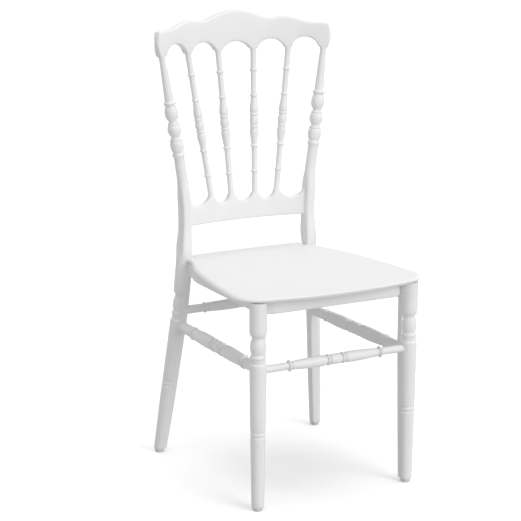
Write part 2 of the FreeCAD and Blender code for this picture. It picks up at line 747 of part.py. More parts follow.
def lower_back_rail():
    end_x = post_x(LOWER_POINTS)
    points = [-OUTER_SPINDLE_FOOT_X, -INNER_SPINDLE_FOOT_X, INNER_SPINDLE_FOOT_X,
              OUTER_SPINDLE_FOOT_X]
    half_point = LOWER_POINT_WIDTH / 2
    scallops = arches(points, half_point, LOWER_POINTS, [-LOWER_SCALLOP_DEPTH] * 3)
    inner_edge = end_x - STILE_WIDTH / 2
    start = Vector(OUTER_SPINDLE_FOOT_X + half_point, 0, LOWER_POINTS)
    low = Vector((start.x + inner_edge) / 2, 0, LOWER_POINTS - LOWER_SCALLOP_DEPTH)
    end = Vector(inner_edge, 0, LOWER_POINTS + LOWER_END_RISE)
    right = Part.Arc(start, low, end).toShape()
    far = [Vector(-point.x, 0, point.z) for point in (end, low, start)]
    left = Part.Arc(*far).toShape()
    stub = Part.makeLine(Vector(end_x, 0, end.z), Vector(end_x, 0, RAIL_BOTTOM))
    far_stub = Part.makeLine(Vector(-end_x, 0, RAIL_BOTTOM), Vector(-end_x, 0, end.z))
    plate = upright_plate(bridge([left] + scallops + [right, stub, far_stub]))
    slab = bowed_slab(lower_rail_y, LOWER_RAIL_THICKNESS, end_x + STILE_WIDTH, RAIL_BOTTOM,
                      LOWER_POINTS + 2 * LOWER_RAIL_HEIGHT, 0)
    post = post_blank(FIT_GAP)
    sockets = [foot_peg for foot_peg, head_peg in spindle_tenons(SOCKET_GAP, SOCKET_END_GAP)]
    rail = plate.common(slab).cut([post, mirrored(post)] + sockets)
    tongue = lower_rail_tongue()
    return rail.fuse([tongue, mirrored(tongue)])


def seat_outline(inset, height):
    """Level outline of the seat before its front corners are rounded."""
    front = Vector(0, SEAT_FRONT_Y + inset, height)
    corner = Vector(SEAT_CORNER_X - inset, SEAT_FRONT_Y + SEAT_FRONT_BOW + inset, height)
    middle = Vector(SEAT_SIDE_X - inset, SEAT_SIDE_Y, height)
    rear = Vector(SEAT_REAR_X - inset, SEAT_REAR_Y - inset, height)
    side = [corner, middle, rear]
    far_side = flipped(side)
    return Part.Wire([Part.Arc(far_side[2], front, corner).toShape(), Part.Arc(*side).toShape(),
                      Part.makeLine(rear, far_side[0]), Part.Arc(*far_side).toShape()])


def seat_panel():
    prism = Part.Face(seat_outline(0, SEAT_UNDERSIDE)).extrude(UP * SEAT_LIP)
    front_corners = [edge for edge in prism.Edges if edge.BoundBox.ZLength > SEAT_LIP / 2
                     and edge.CenterOfMass.y < 0]
    prism = prism.makeFillet(SEAT_CORNER_RADIUS, front_corners)
    rims = [edge for edge in prism.Edges if edge.BoundBox.ZLength < SEAT_LIP / 2]
    panel = prism.makeFillet(SEAT_EDGE_RADIUS, rims)
    post = post_blank(SEAT_NOTCH_GAP)
    pilots = [Part.makeCylinder(SCREW_RADIUS + SOCKET_GAP, SEAT_SCREW_BITE + SOCKET_END_GAP, point)
              for point in seat_screw_points()]
    return panel.cut([seat_pocket(), post, mirrored(post)] + pilots)


def seat_pocket():
    """Hollow under the seat's skin, with ribs across it and a boss round each screw."""
    pocket = Part.Face(seat_outline(SEAT_BAND, SEAT_UNDERSIDE)).extrude(UP * (SEAT_LIP - SEAT_SKIN))
    depth = SEAT_REAR_Y - SEAT_FRONT_Y
    middle_y = (SEAT_REAR_Y + SEAT_FRONT_Y) / 2
    kept = [Part.makeCylinder(SEAT_BOSS_RADIUS, SEAT_LIP, point) for point in seat_screw_points()]
    for count in (-1, 0, 1):
        at = count * SEAT_RIB_PITCH
        along = Vector(at - SEAT_RIB / 2, SEAT_FRONT_Y, SEAT_UNDERSIDE)
        across = Vector(-SEAT_CORNER_X, middle_y + at - SEAT_RIB / 2, SEAT_UNDERSIDE)
        kept.append(Part.makeBox(SEAT_RIB, depth, SEAT_LIP, along))
        kept.append(Part.makeBox(2 * SEAT_CORNER_X, SEAT_RIB, SEAT_LIP, across))
    return pocket.cut(kept)


def soft_underside(bar):
    """Round the lower long edges of an apron."""
    low = bar.BoundBox.ZMin
    edges = [edge for edge in bar.Edges if abs(edge.BoundBox.ZMax - low) < SOCKET_GAP
             and edge.Length > 2 * APRON_THICKNESS]
    return bar.makeFillet(APRON_EDGE_RADIUS, edges)


def cross_apron(name):
    """Front or rear apron, between the two legs of its end."""
    right = FRONT_APRON_AT if name == "front" else REAR_APRON_AT
    leg = front_leg_blank(FIT_GAP) if name == "front" else post_blank(FIT_GAP)
    left = Vector(-right.x, right.y, right.z)
    bar = soft_underside(beam(left, right, APRON_THICKNESS, APRON_HEIGHT))
    bar = bar.cut([leg, mirrored(leg)])
    tongue = tenon_tongue(right, ACROSS, APRON_TENON_HEIGHT, APRON_TENON_THICKNESS, TENON_REACH)
    return drill(bar.fuse([tongue, mirrored(tongue)]), name)


def side_apron():
    inset = ACROSS * SIDE_APRON_INSET
    bar = beam(FRONT_APRON_AT + inset, REAR_APRON_AT + inset, APRON_THICKNESS, APRON_HEIGHT)
    bar = soft_underside(bar)
    bar = bar.cut([front_leg_blank(FIT_GAP), post_blank(FIT_GAP)])
    ends = ((FRONT_APRON_AT, SIDE_HEADING), (REAR_APRON_AT, SIDE_HEADING * -1))
    bar = bar.fuse([tenon_tongue(point, toward, APRON_TENON_HEIGHT, APRON_TENON_THICKNESS, TENON_REACH)
                    for point, toward in ends])
    bolts = [rod(bolt_line(brace)[0], insert_end(brace), BOLT_RADIUS + SOCKET_GAP) for brace in ENDS]
    return drill(bar.cut(bolts), "side")


def drill(bar, apron):
    """Pilot holes for the brace screws in one apron."""
    for brace in ENDS:
        for name, screw in brace_screws_at(brace):
            if name == apron:
                seat, into = screw
                end = seat + into * (BRACE_FLOOR + APRON_SCREW_BITE + SOCKET_END_GAP)
                hole = rod(seat, end, SCREW_RADIUS + SOCKET_GAP)
                bar = bar.cut(hole)
                if apron != "side":
                    bar = bar.cut(mirrored(hole))
    return bar


def cross_outline(reach, length):
    """Turning of the front and rear stretchers."""
    return stretcher_outline(reach, length, CROSS_STUB_RADIUS, CROSS_RING_RADIUS, CROSS_WAIST_RADIUS,
                             CROSS_BALUSTER_RADIUS, CROSS_BALUSTER_SWELL)


def side_outline(length):
    return stretcher_outline(SIDE_RING_REACH, length, SIDE_STUB_RADIUS, SIDE_RING_RADIUS,
                             SIDE_WAIST_RADIUS, SIDE_BALUSTER_RADIUS, SIDE_BALUSTER_SWELL)


def stretcher_outline(reach, length, stub, ring, waist, baluster, swell):
    half_ring = STRETCHER_RING_HALF
    centre = STRETCHER_CENTRE_RING
    half = [(0, waist, 0),
            (centre - half_ring, waist, 0),
            (centre + half_ring, waist, ring - waist),
            (centre + 2 * half_ring, baluster, 0),
            (reach - half_ring, stub, swell),
            (reach + half_ring, stub, ring - stub),
            (length / 2, stub, 0)]
    return both_ways(half)


def stretcher(start, end, outline, flat_at, inward):
    """Turned bar between two legs' lines with a flat face on the chair's inner side."""
    along = heading(start, end)
    length = end.sub(start).Length
    middle = (start + end) / 2
    bar = turned(outline, middle, along)
    side = Vector(-along.y, along.x, 0)
    if side.dot(inward) < 0:
        side = side * -1
    offset = side * (flat_at + BEYOND / 2)
    flat = beam(middle - along * length + offset, middle + along * length + offset, BEYOND, BEYOND)
    return bar.cut(flat)


def with_pegs(bar, ends):
    """Add the round tenons of a stretcher."""
    reach = FRONT_LEG_RADIUS * 2
    pegs = [tenon_peg(point, toward, STRETCHER_TENON_RADIUS, stretcher_stop(), reach)
            for point, toward in ends]
    return bar.fuse(pegs)


def cross_stretcher(name):
    """Front or rear stretcher, between the two legs of its end."""
    left, right = stretcher_ends(name)
    leg = front_leg_blank(FIT_GAP) if name == "front" else post_blank(FIT_GAP)
    reach = FRONT_RING_REACH if name == "front" else REAR_RING_REACH
    inward = Vector(0, 1, 0) if name == "front" else Vector(0, -1, 0)
    bar = stretcher(left, right, cross_outline(reach, right.sub(left).Length), CROSS_FLAT, inward)
    bar = bar.cut([leg, mirrored(leg)])
    return with_pegs(bar, ((right, ACROSS), (left, ACROSS * -1)))


def side_stretcher():
    front, rear = stretcher_ends("side")
    bar = stretcher(front, rear, side_outline(rear.sub(front).Length), SIDE_FLAT, ACROSS)
    bar = bar.cut([front_leg_blank(FIT_GAP), post_blank(FIT_GAP)])
    along = heading(front, rear)
    return with_pegs(bar, ((front, along), (rear, along * -1)))


def foot_glide(leg):
    foot = leg_foot(leg)
    top = (FRONT_FOOT_RADIUS if leg == "front_leg" else REAR_FOOT_RADIUS) - GLIDE_TOP_INSET
    outline = [(0, GLIDE_SOLE_RADIUS, 0), (GLIDE_HEIGHT, top, 0), (GLIDE_HEIGHT, GLIDE_PEG_RADIUS, 0),
               (GLIDE_HEIGHT + GLIDE_PEG_LENGTH, GLIDE_PEG_RADIUS, 0)]
    return turned(outline, foot, UP)


ENDS = ("front", "rear")


def brace_frame(brace):
    """Inner corner of the seat frame on the right: its point and the two headings away from it."""
    side = SIDE_HEADING
    inward = Vector(-side.y, side.x, 0)
    line = FRONT_APRON_AT + ACROSS * SIDE_APRON_INSET + inward * (APRON_THICKNESS / 2)
    if brace == "front":
        face_y = FRONT_APRON_AT.y + APRON_THICKNESS / 2
    else:
        face_y = REAR_APRON_AT.y - APRON_THICKNESS / 2
        side = side * -1
    at = line + SIDE_HEADING * ((face_y - line.y) / SIDE_HEADING.y)
    return at, ACROSS, side


def brace_screws_at(brace):
    """Head seat and heading of a brace's two screws, with the apron that each enters."""
    corner, across, side = brace_frame(brace)
    into_cross = Vector(0, -1, 0) if brace == "front" else Vector(0, 1, 0)
    into_side = Vector(SIDE_HEADING.y, -SIDE_HEADING.x, 0)
    level = Vector(0, 0, SEAT_UNDERSIDE - BRACE_HEIGHT / 2 - corner.z)
    first = corner + across * BRACE_SCREW_AT - into_cross * BRACE_FLOOR + level
    second = corner + side * BRACE_SCREW_AT - into_side * BRACE_FLOOR + level
    return ((brace, (first, into_cross)), ("side", (second, into_side)))


def bolt_line(brace):
    """Seat of a leg bolt's head on its brace, and the bolt's heading into the leg."""
    corner, across, side = brace_frame(brace)
    into = (across + side).normalize() * -1
    leg = FRONT_APRON_AT if brace == "front" else REAR_APRON_AT
    axis = Vector(leg.x, leg.y, SEAT_UNDERSIDE - BRACE_HEIGHT / 2)
    return axis - into * axis.sub(corner + across * BRACE_ARM).dot(into), into


def insert_end(brace):
    """Outer end of a threaded insert, which lies just under the leg's square corner."""
    seat, into = bolt_line(brace)
    leg = FRONT_APRON_AT if brace == "front" else REAR_APRON_AT
    radius = FRONT_LEG_RADIUS if brace == "front" else REAR_LEG_RADIUS
    level_leg = Vector(leg.x, leg.y, seat.z)
    to_axis = level_leg.sub(seat).dot(into)
    corner = to_axis - radius * math.sqrt(2)
    return seat + into * (corner + INSERT_RADIUS + INSERT_RECESS)


def insert_bore(leg):
    """Bore in a right leg for its threaded insert and the end of its bolt."""
    brace = "front" if leg == "front_leg" else "rear"
    seat, into = bolt_line(brace)
    start = insert_end(brace)
    end = start + into * (INSERT_LENGTH + SOCKET_END_GAP)
    return rod(start - into * INSERT_LENGTH, end, INSERT_RADIUS + SOCKET_GAP)


def leg_insert(brace):
    seat, into = bolt_line(brace)
    start = insert_end(brace)
    sleeve = rod(start, start + into * INSERT_LENGTH, INSERT_RADIUS)
    return sleeve.cut(rod(seat, start + into * INSERT_LENGTH * 2, BOLT_RADIUS + SOCKET_GAP))


def leg_bolt(brace):
    seat, into = bolt_line(brace)
    tip = insert_end(brace) + into * (INSERT_LENGTH - INSERT_RECESS)
    turns = [2 * math.pi * count / BOLT_HEAD_SIDES for count in range(BOLT_HEAD_SIDES + 1)]
    corners = [Vector(math.cos(turn), math.sin(turn), 0) * BOLT_HEAD_RADIUS for turn in turns]
    head = Part.Face(Part.makePolygon(corners)).extrude(UP * BOLT_HEAD_HEIGHT)
    head.Placement = FreeCAD.Placement(seat, FreeCAD.Rotation(UP, into * -1))
    return head.fuse(rod(seat, tip, BOLT_RADIUS))


def corner_brace(brace):
    corner, across, side = brace_frame(brace)
    low = Vector(corner.x, corner.y, SEAT_UNDERSIDE - BRACE_HEIGHT)
    tips = [low, low + across * BRACE_ARM, low + side * BRACE_ARM, low]
    block = Part.Face(Part.makePolygon(tips)).extrude(UP * BRACE_HEIGHT)
    block = block.cut(front_leg_blank(FIT_GAP) if brace == "front" else post_blank(FIT_GAP))
    seat, into = bolt_line(brace)
    block = block.cut(rod(seat - into * BRACE_ARM, seat + into * BRACE_ARM, BOLT_RADIUS + SOCKET_GAP))
    for name, (head, toward) in brace_screws_at(brace):
        block = block.cut(rod(head, head + toward * BRACE_ARM, SCREW_RADIUS + SOCKET_GAP))
        block = block.cut(rod(head, head - toward * BRACE_ARM, SCREW_HEAD_RADIUS + SOCKET_END_GAP))
    point = seat_screw_point(brace)
    below = Vector(point.x, point.y, SEAT_UNDERSIDE - 2 * BRACE_HEIGHT)
    return block.cut(rod(below, point + UP * BRACE_HEIGHT, SCREW_RADIUS + SOCKET_GAP))


def pan_screw(head_seat, into, length):
    shank = rod(head_seat, head_seat + into * length, SCREW_RADIUS)
    outline = [(0, SCREW_HEAD_RADIUS, 0), (SCREW_HEAD_HEIGHT, SCREW_CROWN_RADIUS, SCREW_CROWN_SWELL)]
    head = turned(outline, head_seat, into * -1)
    return shank.fuse(head)


def seat_screw_point(brace):
    """Where a brace's seat screw enters the seat panel's underside, on the right."""
    corner, across, side = brace_frame(brace)
    inward = Vector(0, 1, 0) if brace == "front" else Vector(0, -1, 0)
    point = corner + across * SEAT_SCREW_AT + inward * SEAT_SCREW_IN
    return Vector(point.x, point.y, SEAT_UNDERSIDE)


def seat_screw_points():
    right = [seat_screw_point(brace) for brace in ENDS]
    return right + [Vector(-point.x, point.y, point.z) for point in right]


def both_sides(solids):
    """Group of separate solids on the right, and their mirror images on the left."""
    return Part.makeCompound(solids + [mirrored(solid) for solid in solids])


def brace_screws():
    screws = []
    for brace in ENDS:
        for name, (head, into) in brace_screws_at(brace):
            screws.append(pan_screw(head, into, BRACE_FLOOR + APRON_SCREW_BITE))
    return both_sides(screws)


def seat_screws():
    screws = []
    for brace in ENDS:
        point = seat_screw_point(brace)
        head = point - UP * BRACE_HEIGHT
        screws.append(pan_screw(head, UP, BRACE_HEIGHT + SEAT_SCREW_BITE))
    return both_sides(screws)


def pieces():
    """Every node of the chair by name."""
    nodes = {}
    for name, shape in (("front_leg", front_leg()), ("rear_post", rear_post()),
                        ("apron", side_apron()), ("stretcher", side_stretcher()),
                        ("front_glide", foot_glide("front_leg")), ("rear_glide", foot_glide("post")),
                        ("front_brace", corner_brace("front")), ("rear_brace", corner_brace("rear"))):
        nodes["right_" + name] = shape
        nodes["left_" + name] = mirrored(shape)
    for count, shape in enumerate(spindles(), 1):
        nodes["spindle_" + str(count)] = shape
    nodes["crest_rail"] = crest_rail()
    nodes["lower_back_rail"] = lower_back_rail()
    nodes["seat_panel"] = seat_panel()
    for end in ENDS:
        nodes[end + "_apron"] = cross_apron(end)
        nodes[end + "_stretcher"] = cross_stretcher(end)
    nodes["leg_bolts"] = both_sides([leg_bolt(brace) for brace in ENDS])
    nodes["leg_inserts"] = both_sides([leg_insert(brace) for brace in ENDS])
    nodes["brace_screws"] = brace_screws()
    nodes["seat_screws"] = seat_screws()
    return nodes


os.makedirs("parts", exist_ok=True)
for node, shape in pieces().items():
    shape.exportStep(os.path.join("parts", node + ".step"))
    print(node, shape.isValid(), len(shape.Solids), round(shape.Volume / 1000, 2))
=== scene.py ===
"""White moulded-resin dining chair with a spindle back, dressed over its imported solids.

Tables and functions hold millimetres in the chair's own frame, and give the right side where both
sides are alike. `place_ring` and `seat_rib` turn them into Blender's metres.
"""
import bpy
import bmesh
import math
from mathutils import Matrix, Vector
from bpy.props import FloatProperty, FloatVectorProperty, PointerProperty


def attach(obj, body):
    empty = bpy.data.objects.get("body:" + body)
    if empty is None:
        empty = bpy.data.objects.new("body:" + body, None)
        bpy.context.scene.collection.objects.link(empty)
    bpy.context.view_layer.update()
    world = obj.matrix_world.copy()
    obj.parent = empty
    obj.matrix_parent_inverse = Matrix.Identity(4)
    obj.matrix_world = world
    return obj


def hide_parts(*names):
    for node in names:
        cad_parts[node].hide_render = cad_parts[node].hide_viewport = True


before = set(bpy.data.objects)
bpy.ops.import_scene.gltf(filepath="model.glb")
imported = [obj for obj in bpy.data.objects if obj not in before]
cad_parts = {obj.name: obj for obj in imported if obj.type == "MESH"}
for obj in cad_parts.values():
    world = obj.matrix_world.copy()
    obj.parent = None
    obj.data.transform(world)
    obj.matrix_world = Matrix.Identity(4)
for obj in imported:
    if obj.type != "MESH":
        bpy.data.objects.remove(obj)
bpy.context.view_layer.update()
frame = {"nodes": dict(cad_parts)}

bl_info = {
    "name": "Spindle-back resin chair",
    "version": (1, 0, 0),
    "blender": (4, 5, 0),
    "location": "View3D > Sidebar > Chair",
    "description": "Models and dresses a white moulded-resin dining chair",
    "category": "Object",
}

MM = 0.001
UP = Vector((0, 0, 1))
SMOOTH_ANGLE = math.radians(38)

# Levels and lines shared by the pieces
GLIDE_TOP = 9.0
LEG_CALF = 118.0
LEG_KNEE = 290.0
SEAT_UNDERSIDE = 416.0
SEAT_TOP = 426.0
RAIL_BOTTOM = 488.5
RAIL_POINTS = 543.5
CREST_POINTS = 838.0
FRONT_LEG_X = 169.8
FRONT_LEG_Y = -188.6

# Line of a rear post: its splay from the waist, its rake below the knee and its lean further up
POST_WAIST = 517.5
POST_WAIST_X = 140.0
POST_WAIST_BEND = 85.0
POST_SPLAY_BELOW = -0.0985
POST_SPLAY_ABOVE = 0.148
POST_KNEE = 322.0
POST_KNEE_Y = 170.7
POST_KNEE_BEND = 60.0
POST_RAKE = -0.12
POST_LEAN_FROM = 600.0
POST_LEAN_RADIUS = 2100.0


def bent(along, low_slope, high_slope, half):
    """Offset of a line that changes its slope evenly within a length about its bend."""
    if along > half:
        return high_slope * along
    if along < -half:
        return low_slope * along
    return low_slope * along + (high_slope - low_slope) / (4 * half) * (along + half) ** 2


def post_at(height):
    """Middle of the right rear post at a height."""
    x = POST_WAIST_X + bent(height - POST_WAIST, POST_SPLAY_BELOW, POST_SPLAY_ABOVE, POST_WAIST_BEND)
    y = POST_KNEE_Y + bent(height - POST_KNEE, POST_RAKE, 0.0, POST_KNEE_BEND)
    lean = max(0.0, height - POST_LEAN_FROM) ** 2 / (2 * POST_LEAN_RADIUS)
    return Vector((x, y + lean, height))


def front_leg_at(height):
    """Middle of the right front leg at a height."""
    return Vector((FRONT_LEG_X, FRONT_LEG_Y, height))


def mirrored(point):
    """Point on the other side of the chair."""
    return Vector((-point.x, point.y, point.z))


def between(table, at):
    """Value at a place in a table of places and values, on straight lines."""
    for (low, first), (high, second) in zip(table, table[1:]):
        if at <= high:
            return first + (second - first) * max(0.0, (at - low) / (high - low))
    return table[-1][1]


def smooth_between(points, at):
    """Value on a smooth line through points, level at the first."""
    slopes = []
    for place in range(len(points)):
        before = points[max(0, place - 1)]
        after = points[min(len(points) - 1, place + 1)]
        slopes.append((after[1] - before[1]) / (after[0] - before[0]))
    slopes[0] = 0.0
    for place in range(len(points) - 1):
        low, high = points[place], points[place + 1]
        if at <= high[0] or place == len(points) - 2:
            gap = high[0] - low[0]
            share = (at - low[0]) / gap
            return ((2 * share ** 3 - 3 * share ** 2 + 1) * low[1]
                    + (share ** 3 - 2 * share ** 2 + share) * gap * slopes[place]
                    + (3 * share ** 2 - 2 * share ** 3) * high[1]
                    + (share ** 3 - share ** 2) * gap * slopes[place + 1])


def rounded(start, end, peak, steps=8):
    """Places and radii of a swelling between two points, without the first of them."""
    points = []
    for step in range(1, steps + 1):
        share = step / steps
        base = start[1] + (end[1] - start[1]) * share
        full = math.sin(math.pi * share) ** 0.75
        points.append((start[0] + (end[0] - start[0]) * share, base + (peak - base) * full))
    return points


def circle_through(first, second, third):
    """Middle and radius of the circle through three points in a plane."""
    ax, ay = first
    bx, by = second
    cx, cy = third
    twice = 2 * (ax * (by - cy) + bx * (cy - ay) + cx * (ay - by))
    x = ((ax ** 2 + ay ** 2) * (by - cy) + (bx ** 2 + by ** 2) * (cy - ay)
         + (cx ** 2 + cy ** 2) * (ay - by)) / twice
    y = ((ax ** 2 + ay ** 2) * (cx - bx) + (bx ** 2 + by ** 2) * (ax - cx)
         + (cx ** 2 + cy ** 2) * (bx - ax)) / twice
    return x, y, math.hypot(ax - x, ay - y)


class Bow:
    """Middle line of a back rail, an arc bowed backwards between the posts."""

    def __init__(self, half_span, depth, end_y):
        self.radius = (half_span ** 2 + depth ** 2) / (2 * depth)
        self.centre_y = end_y + depth - self.radius

    def at(self, x):
        return Vector((x, self.centre_y + math.sqrt(self.radius ** 2 - x ** 2), 0))

    def outward(self, x):
        return (self.at(x) - Vector((0, self.centre_y, 0))).normalized()


CREST_DEPTH = 40.0
CREST_END = post_at(CREST_POINTS)
CREST_BOW = Bow(CREST_END.x, CREST_DEPTH, CREST_END.y)
RAIL_DEPTH = 20.0
RAIL_END = post_at((RAIL_BOTTOM + RAIL_POINTS) / 2)
RAIL_BOW = Bow(RAIL_END.x, RAIL_DEPTH, RAIL_END.y)


# Modelling helpers

def start_piece(name, count):
    """New filled ring of points in edit mode, ready to be extruded."""
    bpy.ops.object.select_all(action="DESELECT")
    bpy.ops.mesh.primitive_circle_add(vertices=count, radius=0.01, fill_type="NGON")
    piece = bpy.context.object
    piece.name = name
    piece.data.name = name
    bpy.ops.object.mode_set(mode="EDIT")
    bpy.ops.mesh.select_all(action="SELECT")
    return piece


def place_ring(piece, points):
    """Put the selected ring of points on a new outline."""
    mesh = bmesh.from_edit_mesh(piece.data)
    ring = [vertex for vertex in mesh.verts if vertex.select]
    if len(ring) != len(points):
        raise RuntimeError(piece.name + ": the extruded ring has lost points")
    for vertex, point in zip(ring, points):
        vertex.co = point * MM
    bmesh.update_edit_mesh(piece.data)


def sweep(name, rings):
    """Closed piece extruded ring by ring; every ring lists the same number of points."""
    piece = start_piece(name, len(rings[0]))
    place_ring(piece, rings[0])
    for ring in rings[1:]:
        bpy.ops.mesh.extrude_region_move()
        place_ring(piece, ring)
    bpy.ops.mesh.select_all(action="SELECT")
    bpy.ops.mesh.normals_make_consistent(inside=False)
    bpy.ops.object.mode_set(mode="OBJECT")
    bpy.ops.object.shade_smooth_by_angle(angle=SMOOTH_ANGLE)
    return piece


def sides_of(along):
    """Two directions square to an upright line, the first of them across the chair."""
    first = Vector((1, 0, 0)) - along * along.x
    first.normalize()
    return first, along.cross(first)


def turned(name, outline, start, end, count=40, flat=None):
    """Turned piece on a line: the outline lists distances from its start and radii. A flat is a
    direction and the distance at which the round is cut."""
    along = (end - start).normalized()
    first, second = sides_of(along) if abs(along.z) > 0.5 else (UP, along.cross(UP))
    rings = []
    for at, radius in outline:
        ring = []
        for step in range(count):
            turn = 2 * math.pi * step / count
            offset = (first * math.cos(turn) + second * math.sin(turn)) * radius
            if flat:
                past = offset.dot(flat[0]) - flat[1]
                if past > 0:
                    offset -= flat[0] * past
            ring.append(start + along * at + offset)
        rings.append(ring)
    return sweep(name, rings)


def both_ways(half, shift):
    """Outline of a turned piece that is alike at both ends, from the half beyond its middle, with
    its distances moved on by a shift."""
    whole = [(-at, radius) for at, radius in half[:0:-1]] + half
    return [(at + shift, radius) for at, radius in whole]


def copy_mirrored(piece, name):
    """Copy of a piece on the other side of the chair, with its own mesh."""
    bpy.ops.object.select_all(action="DESELECT")
    piece.select_set(True)
    bpy.context.view_layer.objects.active = piece
    bpy.ops.object.duplicate()
    copy = bpy.context.object
    copy.name = name
    copy.data.name = name
    bpy.ops.object.mode_set(mode="EDIT")
    bpy.ops.mesh.select_all(action="SELECT")
    bpy.ops.transform.resize(value=(-1, 1, 1), center_override=(0, 0, 0))
    bpy.ops.mesh.normals_make_consistent(inside=False)
    bpy.ops.object.mode_set(mode="OBJECT")
    return copy


def dress(piece, node, material="frame"):
    """Give a finished piece its finish and its body, and hide the CAD node that it stands for."""
    piece.data.materials.clear()
    piece.data.materials.append(finish(material))
    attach(piece, "root")
    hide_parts(node)


def dress_pair(right, node, material="frame"):
    """Copy a right-hand piece to the left, and dress both for their own nodes."""
    left = copy_mirrored(right, right.name.replace("_right", "_left"))
    dress(right, "right_" + node, material)
    dress(left, "left_" + node, material)


# Legs and posts

# Directions, in degrees, of the points round a leg: its round sides, then its square inner corner
ROUND_TURNS = [180.9 + 268.2 * step / 40 for step in range(41)]
SQUARE_TURNS = [90.9, 101, 112, 122, 127, 131, 135, 139, 143, 148, 158, 169, 179.1]

# Heights on a leg, and how deep its round sides are cut there
LEG_CUTS = (
    [(9, 0), (40, 0), (80, 0), (118, 0), (140, 0), (147.5, 0), (148.8, 0.2), (150.9, 1.3), (153.0, 0.2),
     (155.5, 0), (158.0, 0.2), (160.1, 1.3), (162.2, 0.2), (163.5, 0), (200, 0), (245, 0), (288, 0),
     (293, 0), (294.6, 0.4), (295.6, 1.5), (296.6, 2.6), (298.5, 2.7), (301, 2.3), (303, 2.2),
     (304.2, 2.6)]
    + rounded((304.2, 2.6), (312.2, 3.3), 0.8)
    + [(313.8, 3.5), (315, 3.5)]
    + rounded((315, 3.5), (341.5, 3.6), 1.3, 12)
    + [(343.5, 4.3), (345.2, 5.0), (346.6, 5.0), (348.6, 3.6), (351, 2.0), (353.4, 0.9), (355.6, 0.3),
       (358, 0), (372, 0), (390, 0), (405, 0), (416, 0)])

# Radius of a front leg's inner corner at its foot, calf, knee and top
FRONT_LEG_CORNERS = (4.5, 3.5, 3.0, 3.0)

# Rear post up to its turned top: height, half width, half depth, radius of its three round corners
# and of its inner one
POST_STATIONS = (
    (9, 12.0, 12.0, 12.0, 4.5), (118, 13.9, 13.9, 13.9, 3.5), (290, 15.0, 15.0, 15.0, 3.0),
    (416, 15.0, 15.0, 15.0, 3.0), (446, 11.6, 17.0, 4.5, 4.0), (488.5, 9.8, 14.6, 4.2, 4.0),
    (543.5, 9.8, 14.6, 4.4, 4.2), (590, 10.9, 10.9, 10.8, 10.8), (634, 10.8, 10.8, 10.8, 10.8))
# Height above its foot at which a rear post's rings are square to its line
POST_SETTLE = 60.0
# Rings of the stile above the seat: first height, step and number
STILE_START = SEAT_UNDERSIDE + 4
STILE_STEP = 5
STILE_STEPS = 42

# Turned top of a rear post: the drop of its foot below the crest rail's points, which gives its
# heading, then such drops and radii from below
POST_TURNED = 204
POST_TOP = (
    [(203.5, 10.8)] + rounded((203.2, 10.8), (194.4, 10.6), 12.9)
    + [(193.2, 10.4), (192.4, 10.9), (190.5, 11.9), (187.5, 13.0), (183.5, 13.7), (178.5, 13.9),
       (174.0, 13.6), (171.2, 12.7), (170.2, 11.9)]
    + rounded((169.8, 11.7), (165.0, 11.0), 12.4, 6)
    + [(164.0, 9.6), (162.8, 8.6), (161.4, 8.5), (160.4, 9.1), (158.0, 10.9), (154.5, 12.6),
       (150.5, 13.6), (146.5, 13.9), (142.5, 13.4), (139.8, 12.3), (138.4, 11.2)]
    + rounded((138.0, 10.8), (133.2, 10.0), 11.6, 6)
    + [(132.0, 9.0), (130.6, 8.4), (129.4, 8.4), (128.2, 9.0), (125.5, 10.9), (122.0, 12.6),
       (118.0, 13.6), (113.5, 13.9), (109.0, 13.5), (104.5, 12.5), (101.0, 11.2), (99.0, 10.2),
       (98.0, 9.9)]
    + rounded((97.6, 9.9), (89.4, 9.7), 12.8)
    + [(88.0, 9.6), (60.0, 8.4), (30.0, 7.2), (9.0, 6.4), (4.0, 6.6), (1.0, 7.4), (-3.0, 7.4)])


def corner_reach(turn, half_width, half_depth, corner):
    """Distance from the middle of a round-cornered oblong to its edge in a direction."""
    across = abs(math.cos(turn))
    deep = abs(math.sin(turn))
    if across * half_depth >= deep * half_width:
        reach = half_width / across
    else:
        reach = half_depth / deep
    inner_x = half_width - corner
    inner_y = half_depth - corner
    if reach * across > inner_x and reach * deep > inner_y:
        along = across * inner_x + deep * inner_y
        reach = along + math.sqrt(max(0.0, along ** 2 - inner_x ** 2 - inner_y ** 2 + corner ** 2))
    return reach


def leg_ring(centre, along, sizes, cut, inner_y):
    """Ring of a right leg: three round corners, cut in by a depth, and a square one to the chair's
    inside, which is behind a front leg (1) and in front of a rear one (-1)."""
    half_width, half_depth, corner, square = sizes
    first, second = sides_of(along)
    ring = []
    for turns, radius, depth in ((ROUND_TURNS, corner, cut), (SQUARE_TURNS, square, 0.0)):
        for degrees in turns:
            turn = math.radians(degrees)
            reach = corner_reach(turn, half_width, half_depth, radius) - depth
            across = first * math.cos(turn) * reach
            ring.append(centre + across + second * math.sin(turn) * reach * inner_y)
    return ring


def post_heading(height):
    """Heading of a rear post's line, upright at its foot and along the line from POST_SETTLE up."""
    heading = (post_at(height + 4) - post_at(height - 4)).normalized()
    share = min(1.0, max(0.0, (height - GLIDE_TOP) / POST_SETTLE))
    return UP.lerp(heading, share).normalized()


def post_sizes(height):
    """Sizes of a rear post's ring at a height: straight up to the knee, eased above it."""
    for here, there in zip(POST_STATIONS, POST_STATIONS[1:]):
        if height <= there[0]:
            share = (height - here[0]) / (there[0] - here[0])
            eased = share if height < LEG_KNEE else share * share * (3 - 2 * share)
            return [old + (new - old) * eased for old, new in zip(here[1:], there[1:])]
    return list(POST_STATIONS[-1][1:])


